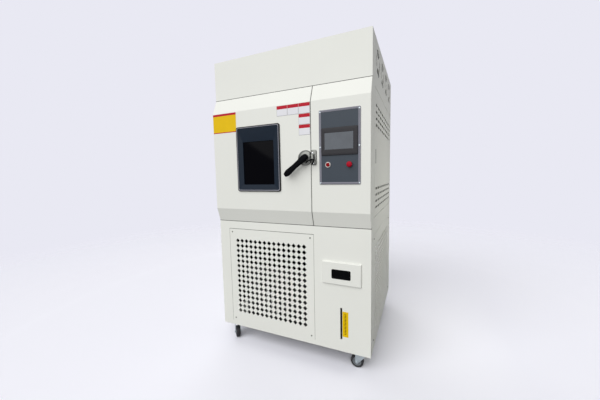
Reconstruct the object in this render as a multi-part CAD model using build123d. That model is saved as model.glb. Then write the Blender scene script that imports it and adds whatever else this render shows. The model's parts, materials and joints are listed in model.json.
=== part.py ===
from build123d import *
import os
from math import cos, pi, radians, sin

# Environmental test chamber on castors. Millimetres.
# While a piece is made, x runs from the cabinet's left edge to its right, y from the lower front
# sheet to the back, and z from the floor up. save() then moves every piece to the part's own origin.

# Cabinet: overall sizes and the levels of its front
BODY_D = 980.0
SKIRT_H = 30.0
SKIRT_WALL = 3.0
SKIRT_LIP = 29.0
WAIST_H = 721.0
LOWER_BEVEL_H = 84.0
UPPER_BEVEL_H = 92.0
HOOD_H = 238.0
BELLY_OUT = 26.0
HOOD_BACK = 13.0
SHEET = 2.0
FLANGE = 18.0
SEAM = 2.0
EDGE_R = 3.0
RUNNING = 0.3
PIN_FIT = 0.05
CUT_PAST = 1.0
PIN_SIDES = 8
ROUND_SIDES = 24
WHEEL_SIDES = 32

# Workroom: the insulated box that the specimens stand in
ROOM_W = 500.0
ROOM_D = 500.0
ROOM_H = 600.0
ROOM_LEFT_WALL = 82.0
ROOM_RIGHT_WALL = 93.0
ROOM_RISE = 90.0
ROOM_HEAD = 91.0
LINER_T = 1.5
LINER_LIP = 12.0
INSULATION_T = 70.0

# Door, its window and its seal
DOOR_T = 60.0
DOOR_PLUG_GAP = 8.0
DOOR_PLUG_D = 25.0
GASKET_T = 8.0
GASKET_W = 14.0
WINDOW_SIDE = 100.0
WINDOW_SILL = 111.0
WINDOW_HEAD = 101.0
WINDOW_PROUD = 9.0
WINDOW_R = 22.0
PANE_SIDE = 44.0
PANE_RISE = 44.0
PANE_HEAD = 91.0
PANE_R = 16.0
PANE_T = 5.0
PANE_REST = 6.0
RIM_W = 14.0
WELL_FLOOR = 4.0
WINDOW_CHAMFER = 4.0

# Door hinges: lift-off knuckles on the left face
HINGE_OUT = 10.0
HINGE_BACK = 6.0
KNUCKLE_R = 8.0
HINGE_PIN_R = 4.0
KNUCKLE_H = 40.0
LEAF_T = 3.0
LEAF_W = 38.0
HINGE_INSET = 110.0

# Door latch
LATCH_IN = 30.0
LATCH_RISE = 386.0
LATCH_BASE_R = 42.0
LATCH_BASE_T = 14.0
LATCH_HUB_R = 19.0
LATCH_STANDOFF = 34.0
SPINDLE_R = 6.0
LEVER_LENGTH = 165.0
LEVER_DROOP = 38.0
LEVER_ROOT_W = 34.0
LEVER_NECK_W = 21.0
LEVER_GRIP_W = 31.0
LEVER_TIP_W = 17.0
LEVER_T = 17.0
LEVER_NOSE = 30.0
KEEPER_W = 33.0
KEEPER_H = 83.0
KEEPER_T = 7.0
KEEPER_R = 8.0
KEEPER_LUG = 22.0
LUG_LEFT = 3.0
LUG_RIGHT = 9.0

# Control section
KEEPER_GAP = 16.0
PLATE_RIGHT = 54.0
PLATE_RISE = 238.0
PLATE_T = 3.0
PLATE_R = 5.0
HMI_RISE = 154.0
HMI_LEFT = 9.0
HMI_RIGHT = 11.0
HMI_HEAD = 91.0
HMI_T = 6.0
HMI_R = 4.0
HMI_DEPTH = 40.0
HMI_LIP = 9.0
PLATE_REST = 12.0
SCREEN_W = 154.0
SCREEN_H = 87.0
SCREEN_T = 2.0
SCREEN_SINK = 1.0
SCREEN_LEFT = 23.0
SCREEN_RIGHT = 23.0
SCREEN_RISE = 31.0
SCREEN_HEAD = 27.0
BUTTON_RISE = 107.0
BUTTON_FROM_EDGE = 47.0
STOP_FROM_EDGE = 56.0
COLLAR_R = 15.0
COLLAR_T = 5.0
BUTTON_R = 10.0
BUTTON_PROUD = 2.0
STOP_R = 16.0
STEM_R = 6.0
SLEEVE_R = 11.0
SLEEVE_D = 23.0
STOP_T = 12.0
STOP_BEVEL = 7.0
BUTTON_TRAVEL = 3.0

# Front grille: a lift-off panel with square holes set on their corners
GRILLE_X = 76.0
GRILLE_TOP_GAP = 52.0
LEDGE = 12.0
GRILLE_PITCH_X = 33.9
GRILLE_PITCH_Z = 34.3
HOLE_HALF = 12.5
HOLES_FROM_LEFT = 62.0
HOLES_FROM_RIGHT = 58.0
HOLES_FROM_BOTTOM = 81.0
HOLES_FROM_TOP = 75.0
SCREW_INSET = 21.0
SCREW_R = 4.5
SCREW_T = 2.5

# Right side: perforated lower panel, service door with slots
SIDE_GRILLE_Y = 73.0
SIDE_GRILLE_BACK = 73.0
SIDE_PITCH = 102.0
SIDE_HOLES_IN = 70.0
SERVICE_FRONT = 58.0
SERVICE_BACK = 28.0
SERVICE_RISE = 50.0
SERVICE_DROP = 26.0
SERVICE_PIN_R = 2.5
SERVICE_LUG_REST = 2.0
SERVICE_PIN_IN = 6.0
SERVICE_AXIS_IN = 6.0
SERVICE_GAP = 2.5
SLOTS_FROM_TOP = 86.0
SLOTS_FROM_BOTTOM = 49.0
SLOT_ROWS = 4
SLOTS_PER_ROW = 2
SLOT_H = 9.0
SLOT_PITCH = 36.0
SLOT_END = 34.0
SLOT_WEB = 18.0
PULL_IN = 33.0
PULL_RISE = 348.0
PULL_W = 24.0
PULL_H = 82.0
PULL_DEPTH = 16.0
PADDLE_T = 3.5
PADDLE_GAP = 0.5
PADDLE_PIN_R = 1.5
REAR_SLOTS = 8
REAR_SLOT_W = 420.0
REAR_SLOT_RISE = 120.0
REAR_SLOT_H = 18.0

# Hood fans
FAN_COUNT = 4
FAN_R = 57.0
FAN_RIM = 1.0
FAN_FRAME_T = 25.0
FAN_FIRST_Y = 217.0
FAN_LAST_IN = 148.0
FAN_RISE = 127.0
FAN_CLEAR = 2.0
FAN_BRIDGE_W = 10.0
FAN_BRIDGE_T = 3.0
FAN_SHAFT_END = 4.0
FAN_HUB_R = 20.0
FAN_HUB_T = 16.0
FAN_BLADES = 5
FAN_CHORD = 20.0
FAN_BLADE_T = 1.6
FAN_TILT = 38.0
GUARD_HUB_R = 24.0
GUARD_WEB = 7.0
GUARD_SLOTS = 6
FAN_SHAFT_R = 3.0

# Water drawer and level gauge
DRAWER_W = 224.0
DRAWER_H = 131.0
DRAWER_RISE = 394.0
DRAWER_T = 10.0
DRAWER_R = 6.0
DRAWER_BEVEL = 1.5
PULL_CUP_W = 103.0
PULL_CUP_H = 48.0
PULL_CUP_D = 18.0
TANK_D = 300.0
TANK_WALL = 3.0
TANK_INSET = 10.0
TANK_SETBACK = 20.0
PULL_CUP_LEFT = 59.0
PULL_CUP_RISE = 38.0
RAIL_T = 3.0
RAIL_LEDGE = 12.0
RAIL_H = 30.0
RAIL_SPARE = 20.0
GAUGE_RIGHT = 165.0
GAUGE_RISE = 72.0
GAUGE_H = 187.0
GAUGE_W = 11.5
TUBE_R = 5.0
TUBE_WALL = 1.0
GAUGE_END = 8.0
ELBOW_W = 16.0
ELBOW_D = 32.0

# Castors: swivel angle is the way that each wheel trails, 0 to the right, 90 to the back
CASTOR_INSET = 58.0
CASTOR_PLATE = 76.0
CASTOR_PLATE_T = 4.0
CROWN_GAP = 15.7
SWIVEL_R = 24.0
SWIVEL_T = 12.0
WHEEL_R = 37.5
WHEEL_W = 27.0
TREAD_R = 4.0
TRAIL = 28.0
AXLE_R = 5.0
KINGPIN_R = 5.0
FORK_T = 3.0
FORK_GAP = 1.5
CHEEK_TIP = 11.0
CHEEK_BACK = 16.0
CASTOR_TRAILS = {"front_left": 315.0, "front_right": 180.0, "rear_left": 20.0, "rear_right": 160.0}

# Inside the workroom and the machine room
LAMP_R = 9.0
LAMP_COUNT = 3
LAMP_DROP = 62.0
REFLECTOR_D = 300.0
REFLECTOR_FLARE = 38.0
REFLECTOR_H = 62.0
REFLECTOR_GAP = 20.0
REFLECTOR_END = 18.0
SPACER_W = 20.0
SPACER_D = 120.0
TABLE_R = 205.0
TABLE_T = 4.0
TABLE_RISE = 70.0
SHAFT_R = 9.0
CUP_WALL = 6.0
CUP_H = 20.0
COMPRESSOR_R = 82.0
COMPRESSOR_H = 185.0
COMPRESSOR_LID = 38.0
COMPRESSOR_RIGHT = 240.0
COMPRESSOR_BACK = 360.0
FOOT_T = 10.0
FOOT_REACH = 14.0
CONDENSER_W = 420.0
CONDENSER_H = 380.0
CONDENSER_D = 60.0
CONDENSER_FINS = 10
FIN_INSET = 4.0
CONDENSER_X = 150.0
CONDENSER_Y = 70.0
BRIDGE_D = 70.0
BRIDGE_W = 24.0
BRIDGE_T = 4.0
COOLING_FAN_R = 150.0
COOLING_HUB_R = 34.0
COOLING_CLEAR = 6.0
COOLING_BLADES = 5
COOLING_CHORD = 52.0
COOLING_TILT = 30.0
BACKPLATE_T = 3.0
BACKPLATE_MARGIN = 60.0
ROW_START = 40.0
ROW_GAP = 8.0
ROW_PITCH = 160.0
CONTACTORS = 5
CONTACTOR_W = 45.0
CONTACTOR_H = 80.0
CONTACTOR_D = 75.0
SUPPLIES = 3
SUPPLY_W = 70.0
SUPPLY_H = 110.0
SUPPLY_D = 85.0
BREAKERS = 8
BREAKER_W = 18.0
BREAKER_H = 85.0
BREAKER_D = 65.0

# Rear fittings
GLAND_R = 17.0
GLAND_BORE_R = 9.0
GLAND_OUT = 24.0
DRAIN_R = 8.0
DRAIN_BORE_R = 5.0
DRAIN_OUT = 32.0
GLAND_RIGHT = 140.0
DRAIN_X = 330.0
REAR_FITTING_RISE = 70.0

# Widths and heights worked out from the sizes above: the door spans the room and its walls, the
# control section spans its instrument plate, and the plate spans the touch screen
CASTOR_H = 2 * WHEEL_R + CROWN_GAP + FORK_T + SWIVEL_T + RUNNING + CASTOR_PLATE_T
DOOR_W = ROOM_LEFT_WALL + ROOM_W + ROOM_RIGHT_WALL
WINDOW_W = ROOM_W - 2 * WINDOW_SIDE
WINDOW_H = ROOM_H - WINDOW_SILL - WINDOW_HEAD
PANE_W = WINDOW_W - 2 * PANE_SIDE
PANE_H = WINDOW_H - PANE_RISE - PANE_HEAD
HMI_W = SCREEN_LEFT + SCREEN_W + SCREEN_RIGHT
HMI_H = SCREEN_RISE + SCREEN_H + SCREEN_HEAD
PLATE_W = HMI_LEFT + HMI_W + HMI_RIGHT
PLATE_H = HMI_RISE + HMI_H + HMI_HEAD
CONTROL_W = KEEPER_W + KEEPER_GAP + PLATE_W + PLATE_RIGHT
BODY_W = DOOR_W + SEAM + CONTROL_W
BELLY_H = ROOM_RISE + ROOM_H + ROOM_HEAD - LOWER_BEVEL_H - UPPER_BEVEL_H
FAN_FRAME = 2 * (FAN_R + FAN_CLEAR + FAN_RIM)
FAN_PITCH = (BODY_D - FAN_FIRST_Y - FAN_LAST_IN) / (FAN_COUNT - 1)

# Levels and planes worked out from the sizes above
BODY_Z = CASTOR_H
WAIST_Z = BODY_Z + WAIST_H
BELLY_Z = WAIST_Z + LOWER_BEVEL_H
BROW_Z = BELLY_Z + BELLY_H
SEAM_Z = BROW_Z + UPPER_BEVEL_H
TOP_Z = SEAM_Z + HOOD_H
BELLY_Y = -BELLY_OUT
DOOR_BACK_Y = DOOR_T - BELLY_OUT
FRAME_Y = DOOR_BACK_Y + GASKET_T + RUNNING
ROOM_X = ROOM_LEFT_WALL
ROOM_Y = FRAME_Y + SHEET
ROOM_Z = WAIST_Z + ROOM_RISE
HINGE_Y = DOOR_BACK_Y + HINGE_BACK
LATCH_Z = WAIST_Z + LATCH_RISE
PLATE_X = BODY_W - PLATE_RIGHT - PLATE_W
PLATE_Z = WAIST_Z + PLATE_RISE
GRILLE_W = DOOR_W - GRILLE_X - SEAM
GRILLE_H = WAIST_H - SKIRT_H - GRILLE_TOP_GAP
GRILLE_Z = BODY_Z + SKIRT_H
GRILLE_TOP_Z = GRILLE_Z + GRILLE_H
SIDE_GRILLE_END = BODY_D - SIDE_GRILLE_BACK
GRILLE_COLUMNS = int((GRILLE_W - HOLES_FROM_LEFT - HOLES_FROM_RIGHT) / GRILLE_PITCH_X) + 1
GRILLE_ROWS = int((GRILLE_H - HOLES_FROM_BOTTOM - HOLES_FROM_TOP) / GRILLE_PITCH_Z) + 1
SIDE_COLUMNS = int((SIDE_GRILLE_END - SIDE_GRILLE_Y - 2 * SIDE_HOLES_IN) / SIDE_PITCH) + 1
SIDE_ROWS = int((GRILLE_H - HOLES_FROM_BOTTOM - HOLES_FROM_TOP) / SIDE_PITCH) + 1
TANK_W = DRAWER_W - 2 * TANK_INSET
TANK_H = DRAWER_H - 2 * TANK_INSET
DRAWER_X = BODY_W - (CONTROL_W + DRAWER_W) / 2
DRAWER_Z = BODY_Z + DRAWER_RISE
TANK_X = DRAWER_X + TANK_INSET
TANK_Z = DRAWER_Z + TANK_INSET
TANK_Y = TANK_SETBACK
PULL_CUP_X = DRAWER_X + PULL_CUP_LEFT
PULL_CUP_Z = DRAWER_Z + PULL_CUP_RISE
GAUGE_X = BODY_W - GAUGE_RIGHT
GAUGE_Z = BODY_Z + GAUGE_RISE
SERVICE_Y0 = FRAME_Y + SERVICE_FRONT
SERVICE_Y1 = BODY_D - SERVICE_BACK
SERVICE_Z0 = WAIST_Z + SERVICE_RISE
SERVICE_Z1 = SEAM_Z - SERVICE_DROP
SERVICE_AXIS_X = BODY_W - SERVICE_AXIS_IN
SERVICE_AXIS_Y = SERVICE_Y1 - SERVICE_AXIS_IN
PULL_Y0 = SERVICE_Y0 + PULL_IN
PULL_Y1 = PULL_Y0 + PULL_W
PULL_Z0 = WAIST_Z + PULL_RISE
PULL_Z1 = PULL_Z0 + PULL_H
PADDLE_X = BODY_W - PADDLE_GAP - PADDLE_T / 2
PADDLE_Z = PULL_Z1 - 2 * PADDLE_T
REAR_SLOT_X = BODY_W - REAR_SLOT_W - GRILLE_X
FLOOR_Z = BODY_Z + SHEET
WINDOW_X = ROOM_X + WINDOW_SIDE
WINDOW_Z = ROOM_Z + WINDOW_SILL
PANE_X = WINDOW_X + PANE_SIDE
PANE_Z = WINDOW_Z + PANE_RISE
HINGE_X = -HINGE_OUT
LATCH_X = DOOR_W - LATCH_IN
COMPRESSOR_X = BODY_W - COMPRESSOR_RIGHT
COMPRESSOR_Y = BODY_D - COMPRESSOR_BACK
GLAND_X = BODY_W - GLAND_RIGHT
HMI_X = PLATE_X + HMI_LEFT
HMI_Z = PLATE_Z + HMI_RISE
SCREEN_X = HMI_X + SCREEN_LEFT
SCREEN_Z = HMI_Z + SCREEN_RISE
ROOM_TOP_Z = ROOM_Z + ROOM_H
TABLE_X = ROOM_X + ROOM_W / 2
TABLE_Y = ROOM_Y + ROOM_D / 2
COOLING_X = CONDENSER_X + CONDENSER_W / 2
COOLING_Z = FLOOR_Z + CONDENSER_H / 2
GLAND_Z = GRILLE_Z + REAR_FITTING_RISE
LEVER_Y = BELLY_Y - LATCH_STANDOFF
FRONT_Y = LEVER_Y - LEVER_T
BACK_Y = BODY_D + DRAIN_OUT
LEFT_X = HINGE_X - KNUCKLE_R
RIGHT_X = BODY_W + SCREW_T
ORIGIN = Vector((LEFT_X + RIGHT_X) / 2, (FRONT_Y + BACK_Y) / 2, 0)


def block(x0, x1, y0, y1, z0, z1):
    """A box between two opposite corners."""
    return Pos((x0 + x1) / 2, (y0 + y1) / 2, (z0 + z1) / 2) * Box(x1 - x0, y1 - y0, z1 - z0)


def rod(radius, start, end):
    """A truly round bar from one point to another."""
    line = Vector(*end) - Vector(*start)
    return Plane(origin=start, z_dir=line) * Cylinder(
        radius, line.length, align=(Align.CENTER, Align.CENTER, Align.MIN)
    )


def pin_bar(radius, start, end, sides=PIN_SIDES):
    """A bar with flats: eight on small pins and stems, more where it has to look round."""
    line = Vector(*end) - Vector(*start)
    return Plane(origin=start, z_dir=line) * extrude(RegularPolygon(radius, sides), line.length)


def pin_hole(radius, start, end, sides=PIN_SIDES):
    """The bore for such a bar: its flats clear the bar's corners."""
    return pin_bar((radius + PIN_FIT) / cos(pi / sides), start, end, sides)


def tube(outer, inner, start, end):
    """A tube, bored right through."""
    return pin_bar(outer, start, end, ROUND_SIDES) - pin_bar(inner, start, end, ROUND_SIDES)


def front_sheet(x0, x1, z0, z1, y, thickness, holes=()):
    """A flat sheet that faces the front, with polygon holes given as lists of (x, z)."""
    outline = [(x0, y, z0), (x1, y, z0), (x1, y, z1), (x0, y, z1)]
    cuts = [Wire.make_polygon([(x, y, z) for x, z in hole]) for hole in holes]
    return extrude(Face(Wire.make_polygon(outline), cuts), thickness, dir=(0, 1, 0))


def side_sheet(y0, y1, z0, z1, x, thickness, holes=()):
    """A flat sheet that faces the right, outer face at x, with polygon holes as (y, z)."""
    outline = [(x, y0, z0), (x, y1, z0), (x, y1, z1), (x, y0, z1)]
    cuts = [Wire.make_polygon([(x, y, z) for y, z in hole]) for hole in holes]
    return extrude(Face(Wire.make_polygon(outline), cuts), thickness, dir=(-1, 0, 0))


def diamond(u, v, half):
    """The corners of a square hole that stands on its corner."""
    return [(u + half, v), (u, v + half), (u - half, v), (u, v - half)]


def oblong(u0, u1, v, height):
    """The corners of a long slot."""
    low, high = v - height / 2, v + height / 2
    return [(u0, low), (u1, low), (u1, high), (u0, high)]


def rounded_bar(x0, x1, z0, z1, y0, y1, radius):
    """A rectangular bar along y with rounded corners."""
    outline = Plane(origin=((x0 + x1) / 2, y1, (z0 + z1) / 2), x_dir=(1, 0, 0), z_dir=(0, -1, 0))
    return extrude(outline * RectangleRounded(x1 - x0, z1 - z0, radius), y1 - y0)


def front_profile(x, inset, back):
    """The bevelled front of the belly, as a face at one x, set in from the outside by inset."""
    slope_low = BELLY_OUT / LOWER_BEVEL_H
    slope_high = (BELLY_OUT + HOOD_BACK) / UPPER_BEVEL_H
    points = [
        (x, back, WAIST_Z + SEAM + inset),
        (x, inset - slope_low * SEAM, WAIST_Z + SEAM + inset),
        (x, BELLY_Y + inset, BELLY_Z),
        (x, BELLY_Y + inset, BROW_Z),
        (x, HOOD_BACK + inset - slope_high * SEAM, SEAM_Z - SEAM - inset),
        (x, back, SEAM_Z - SEAM - inset),
    ]
    return Face(Wire.make_polygon(points))


def belly_shell(x0, x1, back):
    """A folded and welded sheet cover with the belly's profile, open at the back."""
    skin = extrude(front_profile(x0, 0, back), x1 - x0, dir=(1, 0, 0))
    middle_z = (BELLY_Z + BROW_Z) / 2
    upright = [
        edge
        for edge in skin.edges()
        if abs(edge.center().X - (x0 + x1) / 2) > (x1 - x0) / 2 - CUT_PAST
        and edge.center().Y < back - CUT_PAST
        and abs(edge.center().Z - middle_z) < (SEAM_Z - WAIST_Z) / 2 - 2 * SEAM
    ]
    skin = fillet(upright, EDGE_R)
    hollow = extrude(front_profile(x0 + SHEET, SHEET, back), x1 - x0 - 2 * SHEET, dir=(1, 0, 0))
    return skin - hollow


def base_frame():
    """Skirt folded from channel, with a floor tray and a return that the panels stand on."""
    wall, lip = SKIRT_WALL, SKIRT_LIP
    skirt = block(0, BODY_W, 0, BODY_D, BODY_Z, GRILLE_Z)
    tray = block(wall, BODY_W - wall, wall, BODY_D - wall, FLOOR_Z, GRILLE_Z - SHEET)
    mouth = block(lip, BODY_W - lip, lip, BODY_D - lip, FLOOR_Z, GRILLE_Z)
    return skirt - tray - mouth


def castor_spots():
    """The name, swivel centre and trailing angle of each castor."""
    places = {
        "front_left": (CASTOR_INSET, CASTOR_INSET),
        "front_right": (BODY_W - CASTOR_INSET, CASTOR_INSET),
        "rear_left": (CASTOR_INSET, BODY_D - CASTOR_INSET),
        "rear_right": (BODY_W - CASTOR_INSET, BODY_D - CASTOR_INSET),
    }
    return [(name, *places[name], trail) for name, trail in CASTOR_TRAILS.items()]


def castor_plates():
    """Bolted top plates with the fixed half of each swivel and its kingpin."""
    pieces = []
    half = CASTOR_PLATE / 2
    for _, x, y, _ in castor_spots():
        low = CASTOR_H - CASTOR_PLATE_T
        plate = block(x - half, x + half, y - half, y + half, low, CASTOR_H)
        pin = pin_bar(KINGPIN_R, (x, y, low - SWIVEL_T), (x, y, low))
        pieces.append(plate + pin)
    return pieces


def castor_fork(x, y, trail):
    """Pressed fork: swivel head, crown and two cheeks that hold the axle."""
    top = CASTOR_H - CASTOR_PLATE_T - RUNNING
    crown_z = top - SWIVEL_T
    gap = WHEEL_W / 2 + FORK_GAP
    tip, low = TRAIL + CHEEK_TIP, WHEEL_R - CHEEK_TIP
    head = Pos(0, 0, crown_z) * extrude(RegularPolygon(SWIVEL_R, 12), SWIVEL_T)
    crown = block(-SWIVEL_R, tip, -gap - FORK_T, gap + FORK_T, crown_z - FORK_T, crown_z)
    cheek_outline = [
        (-SWIVEL_R, crown_z),
        (tip, crown_z),
        (tip, low + CHEEK_TIP / 2),
        (tip - CHEEK_TIP / 2, low),
        (TRAIL - CHEEK_TIP / 2, low),
        (-SWIVEL_R, crown_z - CHEEK_BACK),
    ]
    cheek = extrude(Face(Wire.make_polygon([(u, gap, w) for u, w in cheek_outline])), FORK_T, dir=(0, 1, 0))
    axle = pin_bar(AXLE_R - PIN_FIT, (TRAIL, -gap - FORK_T, WHEEL_R), (TRAIL, gap + FORK_T, WHEEL_R))
    fork = head + crown + cheek + mirror(cheek, Plane.XZ) + axle
    fork -= pin_hole(KINGPIN_R, (0, 0, crown_z - FORK_T), (0, 0, top))
    return Pos(x, y, 0) * Rot(0, 0, trail) * fork


def castor_wheel(x, y, trail):
    """Solid rubber wheel on a plastic hub, with shouldered tread edges."""
    near, far = (0, -WHEEL_W / 2, 0), (0, WHEEL_W / 2, 0)
    wheel = pin_bar(WHEEL_R, near, far, WHEEL_SIDES)
    rims = [wheel.faces().sort_by(Axis.Y)[end].edges() for end in (0, -1)]
    wheel = chamfer(rims[0] + rims[1], TREAD_R)
    wheel -= pin_hole(AXLE_R - PIN_FIT, near, far)
    return Pos(x, y, 0) * Rot(0, 0, trail) * Pos(TRAIL, 0, WHEEL_R) * wheel


def lower_front_panel():
    """Front sheet under the waist: notched for the grille, cut for the drawer and the level gauge."""
    left, right = GRILLE_X - SEAM, GRILLE_X + GRILLE_W + SEAM
    notch_top = GRILLE_TOP_Z + SEAM
    outline = [
        (0, 0, GRILLE_Z),
        (left, 0, GRILLE_Z),
        (left, 0, notch_top),
        (right, 0, notch_top),
        (right, 0, GRILLE_Z),
        (BODY_W, 0, GRILLE_Z),
        (BODY_W, 0, WAIST_Z),
        (0, 0, WAIST_Z),
    ]
    sheet = extrude(Face(Wire.make_polygon(outline)), SHEET, dir=(0, 1, 0))
    ledge = block(left - LEDGE, right + LEDGE, SHEET, 2 * SHEET, GRILLE_Z, notch_top + LEDGE) - block(
        left + LEDGE, right - LEDGE, SHEET, 2 * SHEET, GRILLE_Z + LEDGE, notch_top - LEDGE
    )
    shelf = block(0, BODY_W, 0, FRAME_Y, WAIST_Z - SHEET, WAIST_Z)
    mouth = block(
        TANK_X - TANK_INSET / 2,
        TANK_X + TANK_W + TANK_INSET / 2,
        -CUT_PAST,
        SHEET + CUT_PAST,
        TANK_Z - TANK_INSET / 2,
        TANK_Z + TANK_H + TANK_INSET / 2,
    )
    slot_x0, slot_x1 = GAUGE_X - GAUGE_W / 2, GAUGE_X + GAUGE_W / 2
    slot = block(slot_x0, slot_x1, -CUT_PAST, SHEET + CUT_PAST, GAUGE_Z, GAUGE_Z + GAUGE_H)
    return sheet + ledge + shelf - mouth - slot


def grille_panel():
    """Lift-off front grille: a sheet punched with rows of square holes on their corners."""
    holes = [
        diamond(
            GRILLE_X + HOLES_FROM_LEFT + column * GRILLE_PITCH_X,
            GRILLE_Z + HOLES_FROM_BOTTOM + row * GRILLE_PITCH_Z,
            HOLE_HALF,
        )
        for row in range(GRILLE_ROWS)
        for column in range(GRILLE_COLUMNS)
    ]
    return front_sheet(GRILLE_X, GRILLE_X + GRILLE_W, GRILLE_Z, GRILLE_TOP_Z, 0, SHEET, holes)


def right_grille_panel():
    """Lift-off side grille, punched like the front one."""
    holes = [
        diamond(
            SIDE_GRILLE_Y + SIDE_HOLES_IN + column * SIDE_PITCH,
            GRILLE_Z + HOLES_FROM_BOTTOM + row * SIDE_PITCH,
            HOLE_HALF,
        )
        for row in range(SIDE_ROWS)
        for column in range(SIDE_COLUMNS)
    ]
    return side_sheet(SIDE_GRILLE_Y, SIDE_GRILLE_END, GRILLE_Z, GRILLE_TOP_Z, BODY_W, SHEET, holes)


def panel_screws():
    """Hexagon-head screws at the corners of both grilles."""
    head = extrude(RegularPolygon(SCREW_R, 6), SCREW_T)
    heads = []
    for z in (GRILLE_Z + SCREW_INSET, GRILLE_TOP_Z - SCREW_INSET):
        for x in (GRILLE_X + SCREW_INSET, GRILLE_X + GRILLE_W - SCREW_INSET):
            heads.append(Plane(origin=(x, 0, z), z_dir=(0, -1, 0)) * head)
        for y in (SIDE_GRILLE_Y + SCREW_INSET, SIDE_GRILLE_END - SCREW_INSET):
            heads.append(Plane(origin=(BODY_W, y, z), z_dir=(1, 0, 0)) * head)
    return heads


def left_side_panel():
    """Left side sheet, stepped back behind the door."""
    back, front, step = BODY_D - SHEET, SHEET, FRAME_Y + SHEET
    points = [
        (front, GRILLE_Z),
        (back, GRILLE_Z),
        (back, SEAM_Z),
        (step, SEAM_Z),
        (step, WAIST_Z),
        (front, WAIST_Z),
    ]
    face = Face(Wire.make_polygon([(0, y, z) for y, z in points]))
    return extrude(face, SHEET, dir=(1, 0, 0)) - block(0, SHEET, SHEET, FRAME_Y, WAIST_Z - SHEET, WAIST_Z)


def right_lower_panel():
    """Right side sheet under the waist, with the ledge that carries the side grille."""
    front, back = SIDE_GRILLE_Y - SEAM, SIDE_GRILLE_END + SEAM
    top = GRILLE_TOP_Z + SEAM
    points = [
        (SHEET, GRILLE_Z),
        (front, GRILLE_Z),
        (front, top),
        (back, top),
        (back, GRILLE_Z),
        (BODY_D - SHEET, GRILLE_Z),
        (BODY_D - SHEET, WAIST_Z - SHEET),
        (SHEET, WAIST_Z - SHEET),
    ]
    face = Face(Wire.make_polygon([(BODY_W, y, z) for y, z in points]))
    sheet = extrude(face, SHEET, dir=(-1, 0, 0))
    outer_x, inner_x = BODY_W - SHEET, BODY_W - 2 * SHEET
    ledge = block(inner_x, outer_x, front - LEDGE, back + LEDGE, GRILLE_Z, top + LEDGE) - block(
        inner_x, outer_x, front + LEDGE, back - LEDGE, GRILLE_Z + LEDGE, top - LEDGE
    )
    return sheet + ledge


def right_upper_panel():
    """Right side sheet over the waist, framing the service door and carrying its two hinge pins."""
    opening = [
        (SERVICE_Y0 - SERVICE_GAP, SERVICE_Z0 - SERVICE_GAP),
        (SERVICE_Y1 + SERVICE_GAP, SERVICE_Z0 - SERVICE_GAP),
        (SERVICE_Y1 + SERVICE_GAP, SERVICE_Z1 + SERVICE_GAP),
        (SERVICE_Y0 - SERVICE_GAP, SERVICE_Z1 + SERVICE_GAP),
    ]
    panel = side_sheet(FRAME_Y, BODY_D - SHEET, WAIST_Z - SHEET, SEAM_Z, BODY_W, SHEET, [opening])
    half = SERVICE_AXIS_IN + SERVICE_LUG_REST
    for edge_z, away in ((SERVICE_Z0, -1), (SERVICE_Z1, 1)):
        near = edge_z + away * SERVICE_GAP
        far = near + away * 2 * SHEET
        lug = block(
            BODY_W - SHEET - half - SHEET,
            BODY_W - SHEET,
            SERVICE_AXIS_Y - half,
            SERVICE_AXIS_Y + half,
            min(near, far),
            max(near, far),
        )
        tip = edge_z - away * SERVICE_PIN_IN
        pin = pin_bar(
            SERVICE_PIN_R,
            (SERVICE_AXIS_X, SERVICE_AXIS_Y, min(tip, near)),
            (SERVICE_AXIS_X, SERVICE_AXIS_Y, max(tip, near)),
        )
        panel = panel + lug + pin
    return panel


def service_door():
    """Folded service door with rows of slots, hinge bores in its end flanges and a pull recess."""
    inner_y0, inner_y1 = SERVICE_Y0 + SLOT_END, SERVICE_Y1 - SLOT_END
    pitch = (inner_y1 - inner_y0 + SLOT_WEB) / SLOTS_PER_ROW
    holes = []
    for first_z, step in ((SERVICE_Z1 - SLOTS_FROM_TOP, -1), (SERVICE_Z0 + SLOTS_FROM_BOTTOM, 1)):
        for row in range(SLOT_ROWS):
            for slot in range(SLOTS_PER_ROW):
                start = inner_y0 + slot * pitch
                z = first_z + step * row * SLOT_PITCH
                holes.append(oblong(start, start + pitch - SLOT_WEB, z, SLOT_H))
    recess = [(PULL_Y0, PULL_Z0), (PULL_Y1, PULL_Z0), (PULL_Y1, PULL_Z1), (PULL_Y0, PULL_Z1)]
    sheet = side_sheet(SERVICE_Y0, SERVICE_Y1, SERVICE_Z0, SERVICE_Z1, BODY_W, SHEET, holes + [recess])
    flange = block(
        BODY_W - FLANGE, BODY_W - SHEET, SERVICE_Y0, SERVICE_Y1, SERVICE_Z0, SERVICE_Z1
    ) - block(
        BODY_W - FLANGE,
        BODY_W - SHEET,
        SERVICE_Y0 + SHEET,
        SERVICE_Y1 - SHEET,
        SERVICE_Z0 + SHEET,
        SERVICE_Z1 - SHEET,
    )
    cup = block(
        BODY_W - PULL_DEPTH - SHEET,
        BODY_W - SHEET,
        PULL_Y0 - SHEET,
        PULL_Y1 + SHEET,
        PULL_Z0 - SHEET,
        PULL_Z1 + SHEET,
    ) - block(BODY_W - PULL_DEPTH, BODY_W, PULL_Y0, PULL_Y1, PULL_Z0, PULL_Z1)
    pivot = pin_hole(
        PADDLE_PIN_R, (PADDLE_X, PULL_Y0 - SHEET, PADDLE_Z), (PADDLE_X, PULL_Y1 + SHEET, PADDLE_Z)
    )
    bore = pin_hole(
        SERVICE_PIN_R,
        (SERVICE_AXIS_X, SERVICE_AXIS_Y, SERVICE_Z0),
        (SERVICE_AXIS_X, SERVICE_AXIS_Y, SERVICE_Z1),
    )
    return sheet + flange + cup - pivot - bore


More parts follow.
